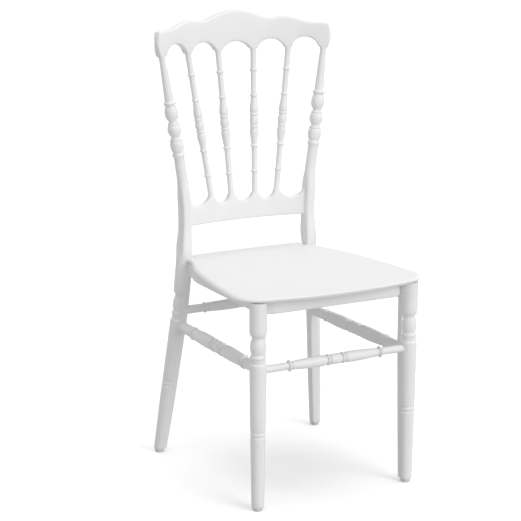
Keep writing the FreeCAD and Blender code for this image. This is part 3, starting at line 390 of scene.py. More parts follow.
class CHAIR_OT_front_legs(bpy.types.Operator):
    """Two three-quarter turned front legs with a square inner corner"""
    bl_idname = "chair.front_legs"
    bl_label = "Front legs"

    def execute(self, context):
        sizes = context.scene.chair_legs
        top = sizes.front_top / MM
        heights = (GLIDE_TOP, LEG_CALF, LEG_KNEE, SEAT_UNDERSIDE)
        radii = list(zip(heights, (sizes.front_foot / MM, sizes.front_calf / MM, top, top)))
        corners = list(zip(heights, FRONT_LEG_CORNERS))
        rings = []
        for height, cut in LEG_CUTS:
            radius = between(radii, height)
            section = (radius, radius, radius, between(corners, height))
            rings.append(leg_ring(front_leg_at(height), UP, section, cut, 1))
        dress_pair(sweep("front_leg_right", rings), "front_leg")
        return {"FINISHED"}


class CHAIR_OT_rear_posts(bpy.types.Operator):
    """Two rear posts: raked turned leg, flat stile and turned top in one moulding"""
    bl_idname = "chair.rear_posts"
    bl_label = "Rear posts"

    def execute(self, context):
        stile = [(STILE_START + STILE_STEP * step, 0) for step in range(STILE_STEPS)]
        rings = []
        for height, cut in LEG_CUTS + stile:
            rings.append(leg_ring(post_at(height), post_heading(height), post_sizes(height), cut, -1))
        along = (CREST_END - post_at(CREST_POINTS - POST_TURNED)).normalized()
        stretch = 1 / along.z
        for drop, radius in POST_TOP:
            centre = CREST_END - along * (drop * stretch)
            rings.append(leg_ring(centre, along, (radius, radius, radius, radius), 0, -1))
        dress_pair(sweep("rear_post_right", rings), "rear_post")
        return {"FINISHED"}


# Back rails

# Steps round each corner of a bar
CORNER_STEPS = 6

# Upper edge of the crest rail: distances from the middle and heights above its points
CREST_TOP = ((0.0, 82.0), (33.6, 76.8), (76.0, 64.0), (115.0, 66.0), (162.0, 53.5), (196.9, 51.5))
# Arches in its lower edge: start, end and rise
CREST_ARCHES = ((-34.5, 34.5, 17.5), (47.5, 110.2, 20.0), (123.2, CREST_END.x - 9.0, 22.0))
# Its end, beyond the post's middle and above the points: lobe, belly, upper corner and tip
CREST_LOBE = 4.0
CREST_LOBE_OUT = 10.0
CREST_BELLY_OUT = 14.5
CREST_BELLY_UP = 30.0
CREST_CORNER_OUT = 9.5
CREST_CORNER_UP = 51.5
CREST_TIP_OUT = 14.9
# How far its upper corner falls, and over which stretch beyond the post's middle
CREST_CORNER_DROP = 2.0
CREST_DROP_FROM = 1.5
CREST_DROP_LENGTH = 8.0
# Extra half thickness towards the middle, its share by distance, the rail's lean and how soft its
# rear edges are beside the front ones
CREST_SWELL = 1.4
CREST_SWELL_SHARES = ((0, 1.0), (120, 1.0), (185, 0.0), (210, 0.0))
CREST_LEAN = 0.075
CREST_REAR = 0.45

# Lower back rail: depth of its scallops, their starts and ends, its last point, its height at the
# post, half the post's width there, how far it runs into the post, and rings from middle to end
RAIL_DIP = 15.5
RAIL_ARCHES = ((-21.5, 21.5, RAIL_DIP), (34.5, 70.5, RAIL_DIP))
RAIL_LAST_POINT = 83.5
RAIL_SHOULDER = 2.5
STILE_HALF = 9.8
RAIL_SINK = 1.5
RAIL_STEPS = 66


def bar_ring(base, outward, half, low, high, soft_low, soft_high, lean=0.0, rear=1.0):
    """Ring across an upright bar: its middle, its outward direction, half its thickness, its lower
    and upper edge, how soft each is, its lean and how soft its rear edges are beside the front ones."""
    most = min(0.48 * (high - low), 0.98 * half)
    soft_low = min(soft_low, most)
    soft_high = min(soft_high, most)
    ring = []
    for side, level, soft, turn in ((-1, low, soft_low, 180), (1, low, soft_low, 270),
                                    (1, high, soft_high, 0), (-1, high, soft_high, 90)):
        soft = soft * rear if side > 0 else soft
        middle_off = side * (half - soft)
        middle_z = level + soft if level == low else level - soft
        for step in range(CORNER_STEPS + 1):
            angle = math.radians(turn + 90 * step / CORNER_STEPS)
            off = middle_off + soft * math.cos(angle)
            rise = middle_z + soft * math.sin(angle)
            ring.append(base + outward * off + UP * rise + Vector((0, lean * (rise - CREST_POINTS), 0)))
    return ring


def arch_rise(x, arches):
    """Height of the arch over a place, or 0 beside the arches."""
    for start, end, rise in arches:
        if start < x < end:
            half = (end - start) / 2
            radius = (half ** 2 + rise ** 2) / (2 * rise)
            return rise - radius + math.sqrt(radius ** 2 - (x - (start + end) / 2) ** 2)
    return 0.0


def crest_edges(x):
    """Lower and upper edge of the crest rail at a distance from the chair's middle."""
    out = CREST_END.x + CREST_LOBE_OUT
    corner = CREST_END.x + CREST_CORNER_OUT
    side = circle_through((out, CREST_LOBE), (CREST_END.x + CREST_BELLY_OUT, CREST_BELLY_UP),
                          (corner, CREST_CORNER_UP))
    low = arch_rise(x, CREST_ARCHES)
    high = smooth_between(CREST_TOP, x)
    high -= CREST_CORNER_DROP * max(0.0, (x - CREST_END.x - CREST_DROP_FROM) / CREST_DROP_LENGTH) ** 2
    if x > out - CREST_LOBE:
        past = min(x, out) - (out - CREST_LOBE)
        low = CREST_LOBE - math.sqrt(max(0.0, CREST_LOBE ** 2 - past ** 2))
    reach = side[2] ** 2 - (x - side[0]) ** 2
    if x > out:
        low = side[1] - math.sqrt(max(0.0, reach))
    if x > corner:
        high = side[1] + math.sqrt(max(0.0, reach))
    return low, high


def crest_places(last):
    """Places of the crest rail's rings from end to end: every 2 mm, and closer over the last 7 mm."""
    places = [step * 2.0 for step in range(int(last / 2.0) - 2)]
    places += [last - 7.0 * (1 - math.sin(math.pi / 2 * step / 10)) for step in range(10)]
    places += [last - 0.02]
    places = sorted(set(round(place, 3) for place in places))
    return [-place for place in places[:0:-1]] + places


class CHAIR_OT_crest_rail(bpy.types.Operator):
    """Bowed crest rail with a wavy top, five arches and soft edges"""
    bl_idname = "chair.crest_rail"
    bl_label = "Crest rail"

    def execute(self, context):
        sizes = context.scene.chair_back
        half = sizes.crest_thickness / MM / 2
        soft = sizes.crest_edge / MM
        last = CREST_END.x + CREST_TIP_OUT
        rings = []
        for x in crest_places(last):
            low, high = crest_edges(abs(x))
            left = last - abs(x)
            narrow = soft - math.sqrt(max(0.0, soft ** 2 - max(0.0, soft - left) ** 2))
            swell = CREST_SWELL * between(CREST_SWELL_SHARES, abs(x))
            outward = CREST_BOW.outward(x)
            rings.append(bar_ring(CREST_BOW.at(x) + outward * swell, outward, half + swell - narrow,
                                  CREST_POINTS + low, CREST_POINTS + max(high, low + 1.0),
                                  soft, soft, CREST_LEAN, CREST_REAR))
        dress(sweep("crest_rail_bowed", rings), "crest_rail")
        return {"FINISHED"}


def lower_rail_top(x, end):
    """Upper edge of the lower back rail, below its points."""
    if x > RAIL_LAST_POINT:
        middle = (RAIL_LAST_POINT + end) / 2
        side = circle_through((RAIL_LAST_POINT, 0.0), (middle, -RAIL_DIP), (end, RAIL_SHOULDER))
        return side[1] - math.sqrt(max(0.0, side[2] ** 2 - (x - side[0]) ** 2))
    return -arch_rise(x, RAIL_ARCHES)


class CHAIR_OT_lower_rail(bpy.types.Operator):
    """Bowed lower back rail with scallops between the spindles' feet"""
    bl_idname = "chair.lower_rail"
    bl_label = "Lower back rail"

    def execute(self, context):
        sizes = context.scene.chair_back
        half = sizes.rail_thickness / MM / 2
        soft = sizes.rail_edge / MM
        end = post_at(RAIL_POINTS).x - STILE_HALF
        rings = []
        for step in range(-RAIL_STEPS, RAIL_STEPS + 1):
            x = (end + RAIL_SINK) * step / RAIL_STEPS
            high = RAIL_POINTS + lower_rail_top(min(abs(x), end), end)
            rings.append(bar_ring(RAIL_BOW.at(x), RAIL_BOW.outward(x), half, RAIL_BOTTOM, high,
                                  soft, soft))
        dress(sweep("lower_back_rail_bowed", rings), "lower_back_rail")
        return {"FINISHED"}


# Seat rails

# Where the front rail bends back beside the right leg: distance from the middle and how far back
FRONT_APRON_BEND = ((131.0, 0.0), (137.0, 1.4), (142.0, 3.8), (147.0, 7.0), (152.0, 10.0),
                    (157.0, 12.0))
# Middle line of the right side rail, from the front leg to the rear post's inner corner
SIDE_APRON_LINE = ((157.0, -173.5), (153.2, 78.0), (152.0, 92.0), (149.8, 104.0), (146.4, 116.0),
                   (143.0, 128.0), (139.6, 140.0), (137.0, 152.0), (136.0, 164.0))
# Half thickness of the front rail and how much lower it reaches than the others
FRONT_APRON_HALF = 7.8
FRONT_APRON_DROP = 1.0
# Length left off each end of the front and rear rail's lines
FRONT_APRON_TRIM = 0.5
REAR_APRON_TRIM = 13.0
# Level at which the rear rail's ends are taken from the posts, how far all rails reach into the
# seat, how soft their lower and upper edges are, the radius of their brackets, and steps along one
APRON_LEVEL = 402.5
APRON_SINK = 1.5
APRON_LOW_EDGE = 4.5
APRON_HIGH_EDGE = 0.5
BRACKET = 6.0
APRON_STEPS = 90


def walk(line, trim):
    """Places along a line of points between trimmed ends, each with its heading and its distances
    from the start and from the end."""
    reach = [0.0]
    for here, there in zip(line, line[1:]):
        reach.append(reach[-1] + (there - here).length)
    whole = reach[-1] - 2 * trim
    stops = [trim + whole * step / APRON_STEPS for step in range(APRON_STEPS + 1)]
    places = []
    for at in stops:
        for count in range(len(line) - 1):
            if at <= reach[count + 1] or count == len(line) - 2:
                share = (at - reach[count]) / (reach[count + 1] - reach[count])
                places.append(line[count].lerp(line[count + 1], share))
                break
    found = []
    for count, here in enumerate(places):
        before = places[max(0, count - 2)]
        after = places[min(len(places) - 1, count + 2)]
        found.append((here, (after - before).normalized(), stops[count] - trim,
                      reach[-1] - trim - stops[count]))
    return found


def bracket_drop(edge):
    """How much lower a seat rail's bracket reaches at a distance from the leg."""
    if edge >= 2 * BRACKET:
        return 0.0
    return BRACKET - math.sqrt(max(0.0, BRACKET ** 2 - (BRACKET - edge / 2) ** 2))


class CHAIR_OT_aprons(bpy.types.Operator):
    """Four seat rails with soft lower edges"""
    bl_idname = "chair.aprons"
    bl_label = "Aprons"

    def execute(self, context):
        sizes = context.scene.chair_seat
        low = SEAT_UNDERSIDE - sizes.apron_height / MM
        half = sizes.apron_thickness / MM / 2
        set_back = FRONT_LEG_Y + sizes.apron_setback / MM
        bend = [Vector((x, set_back + back, 0)) for x, back in FRONT_APRON_BEND]
        front_line = [mirrored(point) for point in bend[::-1]] + bend
        rear = post_at(APRON_LEVEL)
        rear.z = 0
        side_line = [Vector((x, y, 0)) for x, y in SIDE_APRON_LINE]
        # Name, node, line, length left off its ends, half thickness, lower edge, whether both ends have
        # a bracket or only the first
        runs = (("front_apron_bar", "front_apron", front_line, FRONT_APRON_TRIM, FRONT_APRON_HALF,
                 low - FRONT_APRON_DROP, True),
                ("rear_apron_bar", "rear_apron", (mirrored(rear), rear), REAR_APRON_TRIM, half, low,
                 True),
                ("side_apron_right", "right_apron", side_line, 0.0, half, low, False))
        for name, node, line, trim, thick, bottom, both in runs:
            rings = []
            for here, along, before, after in walk(line, trim):
                drop = bracket_drop(min(before, after) if both else before)
                outward = Vector((along.y, -along.x, 0))
                rings.append(bar_ring(here, outward, thick, bottom - drop, SEAT_UNDERSIDE + APRON_SINK,
                                      APRON_LOW_EDGE, APRON_HIGH_EDGE))
            piece = sweep(name, rings)
            dress(piece, node)
        # The left rail is copied from the right one once that is dressed
        dress(copy_mirrored(piece, "side_apron_left"), "left_apron")
        return {"FINISHED"}


# Spindles and stretchers

# Distances of each spindle's foot and head from the chair's middle, and how far its ends are sunk
SPINDLE_FAN = ((-77.0, -116.7), (-28.0, -41.0), (28.0, 41.0), (77.0, 116.7))
SPINDLE_SINK = 4.0
SPINDLE_RING = 8.3
SPINDLE_GROOVE = 7.5


def spindle_half(neck, bead, reach):
    """Distances from a spindle's middle and radii, up to its head."""
    groove = SPINDLE_GROOVE
    half = [(0.0, bead)]
    half += [(9.0 * step / 6, bead - 1.7 * (step / 6) ** 2.2) for step in range(1, 7)]
    half += [(9.8, groove)] + rounded((10.0, groove), (16.0, groove), bead) + [(16.6, groove)]
    half += [(17.4, 8.2), (18.6, 8.9), (21.0, 9.2), (25.0, 9.1), (30.0, 8.5), (36.0, 7.6), (42.0, 6.8),
             (47.0, 6.3), (49.2, neck)]
    half += rounded((49.4, neck), (55.6, neck), SPINDLE_RING)
    half += [(57.0, neck), (80.0, neck), (101.5, neck)]
    half += rounded((101.9, neck), (108.1, neck), SPINDLE_RING)
    half += [(109.5, neck), (125.0, neck), (reach - 8.0, neck), (reach - 3.5, neck + 0.25),
             (reach - 1.0, neck + 0.8), (reach + SPINDLE_SINK, neck + 0.9)]
    return half


class CHAIR_OT_spindles(bpy.types.Operator):
    """Four turned spindles that fan out upwards"""
    bl_idname = "chair.spindles"
    bl_label = "Spindles"

    def execute(self, context):
        sizes = context.scene.chair_back
        neck = sizes.spindle_neck / MM
        bead = sizes.spindle_bead / MM
        for count, (foot_x, head_x) in enumerate(SPINDLE_FAN, 1):
            foot = RAIL_BOW.at(foot_x) + UP * RAIL_POINTS
            head = CREST_BOW.at(head_x) + UP * CREST_POINTS
            along = (head - foot).normalized()
            reach = (head - foot).length / 2
            start = (foot + head) / 2 - along * (reach + SPINDLE_SINK)
            outline = both_ways(spindle_half(neck, bead, reach), reach + SPINDLE_SINK)
            piece = turned("spindle_turned_" + str(count), outline, start, head, 32)
            dress(piece, "spindle_" + str(count))
        return {"FINISHED"}


# Heights of the stretchers, how far the rear one stands before the posts' middle and the side ones
# inside the legs' middle, and how far all of them start from those middles
FRONT_STRETCHER = 281.5
REAR_STRETCHER = 314.5
SIDE_STRETCHER = 278.5
REAR_STRETCHER_FORWARD = 8.0
SIDE_STRETCHER_INSET = 9.5
STRETCHER_START = 8.0
# Distance of the flat from a stretcher's middle line
CROSS_FLAT = 7.5
SIDE_FLAT = 5.0
# Turning of each: distance of the outer rings from the middle, width and depth of the coves
FRONT_TURNING = (102.0, 1.2, 4.2)
REAR_TURNING = (104.0, 1.2, 4.2)
SIDE_TURNING = (113.0, 4.0, 5.4)


def stretcher_half(end, reach, cove, cut, stub, ring, waist, baluster):
    """Distances from a stretcher's middle and radii, to its end: a ring, a baluster and an outer
    ring, with coves of a given width and depth beside the rings."""
    groove = ring - cut
    neck = stub + 2.6 - cut
    half = [(0.0, waist), (6.0, waist), (10.6, waist - 0.4), (12.0, groove + 0.6), (12.8, groove)]
    half += rounded((13.4, groove), (19.6, groove), ring)
    half += [(20.3, groove), (20.4 + cove, groove + 0.8), (22.0 + cove, baluster - 0.8)]
    first = 24.8 + cove
    last = reach - 5.2 - cove
    for step in range(13):
        share = step / 12
        radius = baluster + (stub + 0.9 - baluster) * share ** 1.35
        half.append((first + (last - first) * share, radius + 0.7 * math.sin(math.pi * share ** 0.8)))
    half += [(reach - 4.0 - cove, neck + 0.6), (reach - 4.1, neck)]
    half += rounded((reach - 3.4, neck), (reach + 3.4, neck), ring)
    half += [(reach + 4.0, neck + 0.1), (reach + 2.8 + cove, neck + 0.3), (reach + 4.2 + cove, stub),
             (end, stub + 0.2)]
    return half


class CHAIR_OT_stretchers(bpy.types.Operator):
    """Four turned stretchers with a flat on the chair's inside"""
    bl_idname = "chair.stretchers"
    bl_label = "Stretchers"

    def execute(self, context):
        sizes = context.scene.chair_stretchers
        parts = ("stub", "ring", "waist", "baluster")
        cross = [getattr(sizes, "cross_" + part) / MM for part in parts]
        side = [getattr(sizes, "side_" + part) / MM for part in parts]
        front = front_leg_at(FRONT_STRETCHER)
        rear = post_at(REAR_STRETCHER) - Vector((0, REAR_STRETCHER_FORWARD, 0))
        inset = Vector((SIDE_STRETCHER_INSET, 0, 0))
        # Name, node, start, end, turning, distance of the flat and the side that it faces
        runs = (("front_stretcher_turned", "front_stretcher", mirrored(front), front,
                 (*FRONT_TURNING, *cross), CROSS_FLAT, Vector((0, 1, 0))),
                ("rear_stretcher_turned", "rear_stretcher", mirrored(rear), rear,
                 (*REAR_TURNING, sizes.rear_stub / MM, *cross[1:]), CROSS_FLAT, Vector((0, -1, 0))),
                ("side_stretcher_right", "right_stretcher", front_leg_at(SIDE_STRETCHER) - inset,
                 post_at(SIDE_STRETCHER) - inset,
                 (*SIDE_TURNING, *side), SIDE_FLAT, Vector((-1, 0, 0))))
        for name, node, start, end, turning, flat, inside in runs:
            along = (end - start).normalized()
            start = start + along * STRETCHER_START
            end = end - along * STRETCHER_START
            inside = (inside - along * inside.dot(along)).normalized()
            half = (end - start).length / 2
            outline = both_ways(stretcher_half(half, *turning), half)
            piece = turned(name, outline, start, end, flat=(inside, flat))
            dress(piece, node)
        # The left one is copied from the right one once that is dressed
        dress(copy_mirrored(piece, "side_stretcher_left"), "left_stretcher")
        return {"FINISHED"}


# Seat

# Points on the seat's front and side arcs, the radius between them, its rear edge, and the room
# between a rear post's middle and the notch round it
SEAT_FRONT = ((-176.0, -209.5), (0.0, -232.5), (176.0, -209.5))
SEAT_SIDE = ((207.0, -150.0), (187.5, 10.0), (146.0, 184.0))
SEAT_CORNER = 66.0
SEAT_REAR = 184.0
SEAT_NOTCH = 15.4
# Radius in the notch, and of the tips beside it, which shrinks with the inset
NOTCH_RADIUS = 2.0
TIP_RADIUS = 6.0
TIP_SHRINK = 5.0
# Inset of the outline that gives the direction inwards
SEAT_INSET = 14.0
# How much the seat's sides draw in towards the rear posts, by their distance from front to rear
SEAT_WAIST = ((40.0, 0.0), (64.0, 0.4), (84.0, 2.6), (100.0, 5.4), (116.0, 8.4), (130.0, 9.6),
              (142.0, 8.8), (156.0, 6.8))
# Seat's edge from below: insets and shares of the drop from the edge's widest level to the underside
SEAT_UNDERCUT = ((12.0, 1.0), (8.0, 0.94), (5.0, 0.78), (2.6, 0.55), (0.9, 0.26), (0.0, 0.0))
# Height of the upper round beside its width, its steps, and the inset of the flat top's last ring
EDGE_HEIGHT = 0.75
EDGE_STEPS = 8
TOP_INSET = 13.0
# Hollow underneath: its share of the outline, the line it shrinks to, its ceiling and its chamfer
HOLLOW_SHARE = 0.8
HOLLOW_MIDDLE = -22.0
HOLLOW_CEILING = 422.0
HOLLOW_CHAMFER = 0.6
HOLLOW_FLARE = 1.004
# Ribs in the hollow: half their width, lower and upper edge, bevel and spacing
RIB_HALF = 1.5
RIB_LOW = 416.4
RIB_HIGH = 423.0
RIB_EDGE = 0.5
RIB_SPACING = 62.0
# Middle and half length of the ribs from front to rear, and of those across, which get shorter
# towards the rear
LONG_RIB_MIDDLE = -22.5
LONG_RIB_REACH = 162.5
CROSS_RIB_MIDDLE = -24.5
CROSS_RIB_REACH = 160.0
CROSS_RIB_TAPER = 12.0


def meet(first, second):
    """The rightmost point at given distances from two points: each is x, y and the distance."""
    gap_x = second[0] - first[0]
    gap_y = second[1] - first[1]
    gap = math.hypot(gap_x, gap_y)
    along = (first[2] ** 2 - second[2] ** 2 + gap ** 2) / (2 * gap)
    aside = math.sqrt(max(0.0, first[2] ** 2 - along ** 2))
    x = first[0] + gap_x * along / gap
    y = first[1] + gap_y * along / gap
    off_x = gap_y * aside / gap
    off_y = gap_x * aside / gap
    return max((x - off_x, y + off_y), (x + off_x, y - off_y))


def arc(centre, radius, start, end, steps):
    """Points on an arc in a plane, both ends included."""
    points = []
    for step in range(steps + 1):
        turn = start + (end - start) * step / steps
        x = centre[0] + radius * math.cos(turn)
        y = centre[1] + radius * math.sin(turn)
        points.append(Vector((x, y, 0)))
    return points


def seat_half(inset):
    """Right half of the seat's outline moved inwards, from the front's middle to the rear's middle."""
    front = circle_through(*SEAT_FRONT)
    side = circle_through(*SEAT_SIDE)
    middle = meet((front[0], front[1], front[2] - SEAT_CORNER),
                  (side[0], side[1], side[2] - SEAT_CORNER))
    low = math.atan2(middle[1] - front[1], middle[0] - front[0])
    high = math.atan2(middle[1] - side[1], middle[0] - side[0])
    points = arc(front, front[2] - inset, -math.pi / 2, low, 26)
    points += arc(middle, SEAT_CORNER - inset, low, high, 24)[1:]
    post = post_at(SEAT_TOP)
    tip = TIP_RADIUS - inset * TIP_SHRINK / SEAT_INSET
    ledge = post.y - SEAT_NOTCH - inset
    last = math.asin((ledge - tip - side[1]) / (side[2] - inset - tip))
    flank = arc(side, side[2] - inset, high, last, 44)[1:]
    centre = (side[0] + (side[2] - inset - tip) * math.cos(last), ledge - tip)
    flank += arc(centre, tip, last, math.pi / 2, 8)[1:]
    for point in flank:
        point.x -= smooth_between(SEAT_WAIST, min(max(point.y, SEAT_WAIST[0][0]), SEAT_WAIST[-1][0]))
    points += flank
    inner = post.x - SEAT_NOTCH - inset
    nook = NOTCH_RADIUS + inset
    points += arc((inner + nook, ledge + nook), nook, -math.pi / 2, -math.pi, 6)
    points += arc((inner - tip, SEAT_REAR - inset - tip), tip, 0.0, math.pi / 2, 8)
    rear = points[-1]
    points += [Vector((rear.x * share, rear.y, 0)) for share in (0.75, 0.5, 0.25)]
    return points


def seat_outline(inset):
    """Whole outline of the seat moved inwards."""
    half = seat_half(inset)
    return half + [mirrored(point) for point in half[:0:-1]]


def seat_rib(x, y, half_x, half_y):
    """Rib under the seat about a place, with bevelled edges."""
    low = Vector((x - half_x, y - half_y, RIB_LOW))
    high = Vector((x + half_x, y + half_y, RIB_HIGH))
    bpy.ops.object.select_all(action="DESELECT")
    bpy.ops.mesh.primitive_cube_add(size=1)
    rib = bpy.context.object
    bpy.ops.object.mode_set(mode="EDIT")
    bpy.ops.mesh.select_all(action="SELECT")
    bpy.ops.transform.resize(value=(high - low) * MM, center_override=(0, 0, 0))
    bpy.ops.transform.translate(value=(low + high) * MM / 2)
    bpy.ops.mesh.bevel(offset=RIB_EDGE * MM, segments=2, affect="EDGES")
    bpy.ops.object.mode_set(mode="OBJECT")
    return rib


class CHAIR_OT_seat(bpy.types.Operator):
    """Moulded seat panel with a soft lip, a shallow hollow and ribs underneath"""
    bl_idname = "chair.seat"
    bl_label = "Seat"

    def execute(self, context):
        sizes = context.scene.chair_seat
        soft = sizes.edge / MM
        sharp = sizes.front_edge / MM
        outer = seat_outline(0.0)
        inward = [(there - here) / SEAT_INSET for here, there in zip(outer, seat_outline(SEAT_INSET))]
        rounds = [sharp + (soft - sharp) * min(1.0, abs(step.x) / step.length) for step in inward]
        levels = [SEAT_TOP - width * EDGE_HEIGHT for width in rounds]
        hollow = []
        for point in outer:
            y = (point.y - HOLLOW_MIDDLE) * HOLLOW_SHARE + HOLLOW_MIDDLE
            hollow.append(Vector((point.x * HOLLOW_SHARE, y, 0)))
        rings = [[point + UP * HOLLOW_CEILING for point in hollow],
                 [point + UP * (SEAT_UNDERSIDE + HOLLOW_CHAMFER) for point in hollow],
                 [point * HOLLOW_FLARE + UP * SEAT_UNDERSIDE for point in hollow]]
        for inset, drop in SEAT_UNDERCUT:
            rings.append([point + step * inset + UP * (level + (SEAT_UNDERSIDE - level) * drop)
                          for point, step, level in zip(outer, inward, levels)])
        for count in range(1, EDGE_STEPS + 1):
            turn = math.pi / 2 * count / EDGE_STEPS
            rings.append([point + step * width * (1 - math.cos(turn))
                          + UP * (level + (SEAT_TOP - level) * math.sin(turn))
                          for point, step, width, level in zip(outer, inward, rounds, levels)])
        rings.append([point + step * TOP_INSET + UP * SEAT_TOP for point, step in zip(outer, inward)])
        panel = sweep("seat_moulding", rings)
        ribs = []
        for count in (-1, 0, 1):
            at = RIB_SPACING * count
            ribs.append(seat_rib(at, LONG_RIB_MIDDLE, RIB_HALF, LONG_RIB_REACH))
            wide = CROSS_RIB_REACH - CROSS_RIB_TAPER * count
            ribs.append(seat_rib(0.0, at + CROSS_RIB_MIDDLE, wide, RIB_HALF))
        bpy.ops.object.select_all(action="DESELECT")
        for rib in ribs:
            rib.select_set(True)
        panel.select_set(True)
        context.view_layer.objects.active = panel
        bpy.ops.object.join()
        dress(panel, "seat_panel", "seat")
        return {"FINISHED"}


# Feet and hardware

# Radius of the glides where they meet the legs
FRONT_GLIDE = 12.0
REAR_GLIDE = 11.7


class CHAIR_OT_glides(bpy.types.Operator):
    """Four chamfered foot glides"""
    bl_idname = "chair.glides"
    bl_label = "Foot glides"

    def execute(self, context):
        for node, foot, top in (("front_glide", front_leg_at(GLIDE_TOP), FRONT_GLIDE),
                                ("rear_glide", post_at(GLIDE_TOP), REAR_GLIDE)):
            start = Vector((foot.x, foot.y, 0))
            outline = [(0.0, 7.4), (0.1, 7.9), (0.6, 8.5), (1.4, 8.9), (5.6, top - 1.2),
                       (7.0, top - 0.4), (8.0, top), (8.6, top), (9.0, top - 0.5), (9.4, top - 3.0),
                       (14.0, top - 3.4)]
            dress_pair(turned(node + "_right", outline, start, start + UP), node, "glide")
        return {"FINISHED"}


class CHAIR_OT_hardware(bpy.types.Operator):
    """Finishes of the corner braces, bolts, inserts and screws, whose solids are shown as they are"""
    bl_idname = "chair.hardware"
    bl_label = "Braces and hardware"

    def execute(self, context):
        finishes = {"leg_bolts": "steel", "brace_screws": "steel", "seat_screws": "steel",
                    "leg_inserts": "brass"}
        for side in ("left", "right"):
            for end in ("front", "rear"):
                finishes[side + "_" + end + "_brace"] = "brace"
        for node, name in finishes.items():
            for slot in frame["nodes"][node].material_slots:
                slot.material = finish(name)
        return {"FINISHED"}


# Finishes

# Grain scale, drift of tone, roughness and depth of grain of each resin finish
RESIN_LOOKS = {"frame": (950.0, 0.025, 0.40, 0.10), "seat": (1150.0, 0.02, 0.46, 0.16),
               "brace": (700.0, 0.06, 0.55, 0.25), "glide": (600.0, 0.12, 0.5, 0.25)}
RESIN_GRAIN_DISTANCE = 0.0002
RESIN_SPECULAR = 0.4
METAL_GRAIN = 0.15
METAL_GRAIN_DISTANCE = 0.0001
METAL_TARNISH = 0.55


def add_node(tree, kind, values=None, **settings):
    """New node with its settings, and values for some of its inputs by name or number."""
    node = tree.nodes.new(kind)
    for name, value in settings.items():
        setattr(node, name, value)
    for name, value in (values or {}).items():
        node.inputs[name].default_value = value
    return node


def start_group(name, inputs):
    """New node group with named inputs, which puts out a colour, a roughness and a height."""
    tree = bpy.data.node_groups.new(name, "ShaderNodeTree")
    for label, default in inputs.items():
        kind = "NodeSocketFloat" if isinstance(default, float) else "NodeSocketColor"
        made = tree.interface.new_socket(name=label, in_out="INPUT", socket_type=kind)
        made.default_value = default
    for label, kind in (("Colour", "Color"), ("Roughness", "Float"), ("Height", "Float")):
        tree.interface.new_socket(name=label, in_out="OUTPUT", socket_type="NodeSocket" + kind)
    return tree


def resin_group():
    """Fine moulded grain, and faint drifts of tone and gloss, for the resin finishes."""
    name = "moulded_resin"
    if name in bpy.data.node_groups:
        return bpy.data.node_groups[name]
    tree = start_group(name, {"Colour": (0.8, 0.8, 0.8, 1), "Grain Scale": 900.0, "Drift": 0.03,
                              "Roughness": 0.45})
    links = tree.links
    given = add_node(tree, "NodeGroupInput")
    out = add_node(tree, "NodeGroupOutput")
    place = add_node(tree, "ShaderNodeTexCoord")
    grain = add_node(tree, "ShaderNodeTexNoise", {"Detail": 3.0})
    links.new(place.outputs["Object"], grain.inputs["Vector"])
    links.new(given.outputs["Grain Scale"], grain.inputs["Scale"])
    drift = add_node(tree, "ShaderNodeTexNoise", {"Scale": 14.0, "Detail": 4.0})
    links.new(place.outputs["Object"], drift.inputs["Vector"])
    lower = add_node(tree, "ShaderNodeMath", {0: 1.0}, operation="SUBTRACT")
    links.new(given.outputs["Drift"], lower.inputs[1])
    spread = add_node(tree, "ShaderNodeMapRange", {"From Min": 0.3, "From Max": 0.7, "To Max": 1.0})
    links.new(drift.outputs["Fac"], spread.inputs["Value"])
    links.new(lower.outputs["Value"], spread.inputs["To Min"])
    shade = add_node(tree, "ShaderNodeVectorMath", operation="SCALE")
    links.new(given.outputs["Colour"], shade.inputs["Vector"])
    links.new(spread.outputs["Result"], shade.inputs["Scale"])
    links.new(shade.outputs["Vector"], out.inputs["Colour"])
    rough = add_node(tree, "ShaderNodeMath", {1: 0.12}, operation="MULTIPLY_ADD")
    links.new(drift.outputs["Fac"], rough.inputs[0])
    links.new(given.outputs["Roughness"], rough.inputs[2])
    links.new(rough.outputs["Value"], out.inputs["Roughness"])
    links.new(grain.outputs["Fac"], out.inputs["Height"])
    return tree


def metal_group():
    """Fine grain and spots of tarnish for the metal finishes."""
    name = "plated_metal"
    if name in bpy.data.node_groups:
        return bpy.data.node_groups[name]
    tree = start_group(name, {"Colour": (0.6, 0.6, 0.6, 1), "Tarnish": (0.3, 0.3, 0.3, 1)})
    links = tree.links
    given = add_node(tree, "NodeGroupInput")
    out = add_node(tree, "NodeGroupOutput")
    place = add_node(tree, "ShaderNodeTexCoord")
    spots = add_node(tree, "ShaderNodeTexNoise", {"Scale": 260.0, "Detail": 5.0})
    links.new(place.outputs["Object"], spots.inputs["Vector"])
    mask = add_node(tree, "ShaderNodeMapRange", {"From Min": 0.5, "From Max": 0.75})
    links.new(spots.outputs["Fac"], mask.inputs["Value"])
    mix = add_node(tree, "ShaderNodeMix", data_type="RGBA")
    links.new(mask.outputs["Result"], mix.inputs["Factor"])
    links.new(given.outputs["Colour"], mix.inputs["A"])
    links.new(given.outputs["Tarnish"], mix.inputs["B"])
    links.new(mix.outputs["Result"], out.inputs["Colour"])
    rough = add_node(tree, "ShaderNodeMapRange", {"To Min": 0.24, "To Max": 0.5})
    links.new(spots.outputs["Fac"], rough.inputs["Value"])
    links.new(rough.outputs["Result"], out.inputs["Roughness"])
    grain = add_node(tree, "ShaderNodeTexNoise", {"Scale": 1500.0})
    links.new(place.outputs["Object"], grain.inputs["Vector"])
    links.new(grain.outputs["Fac"], out.inputs["Height"])
    return tree


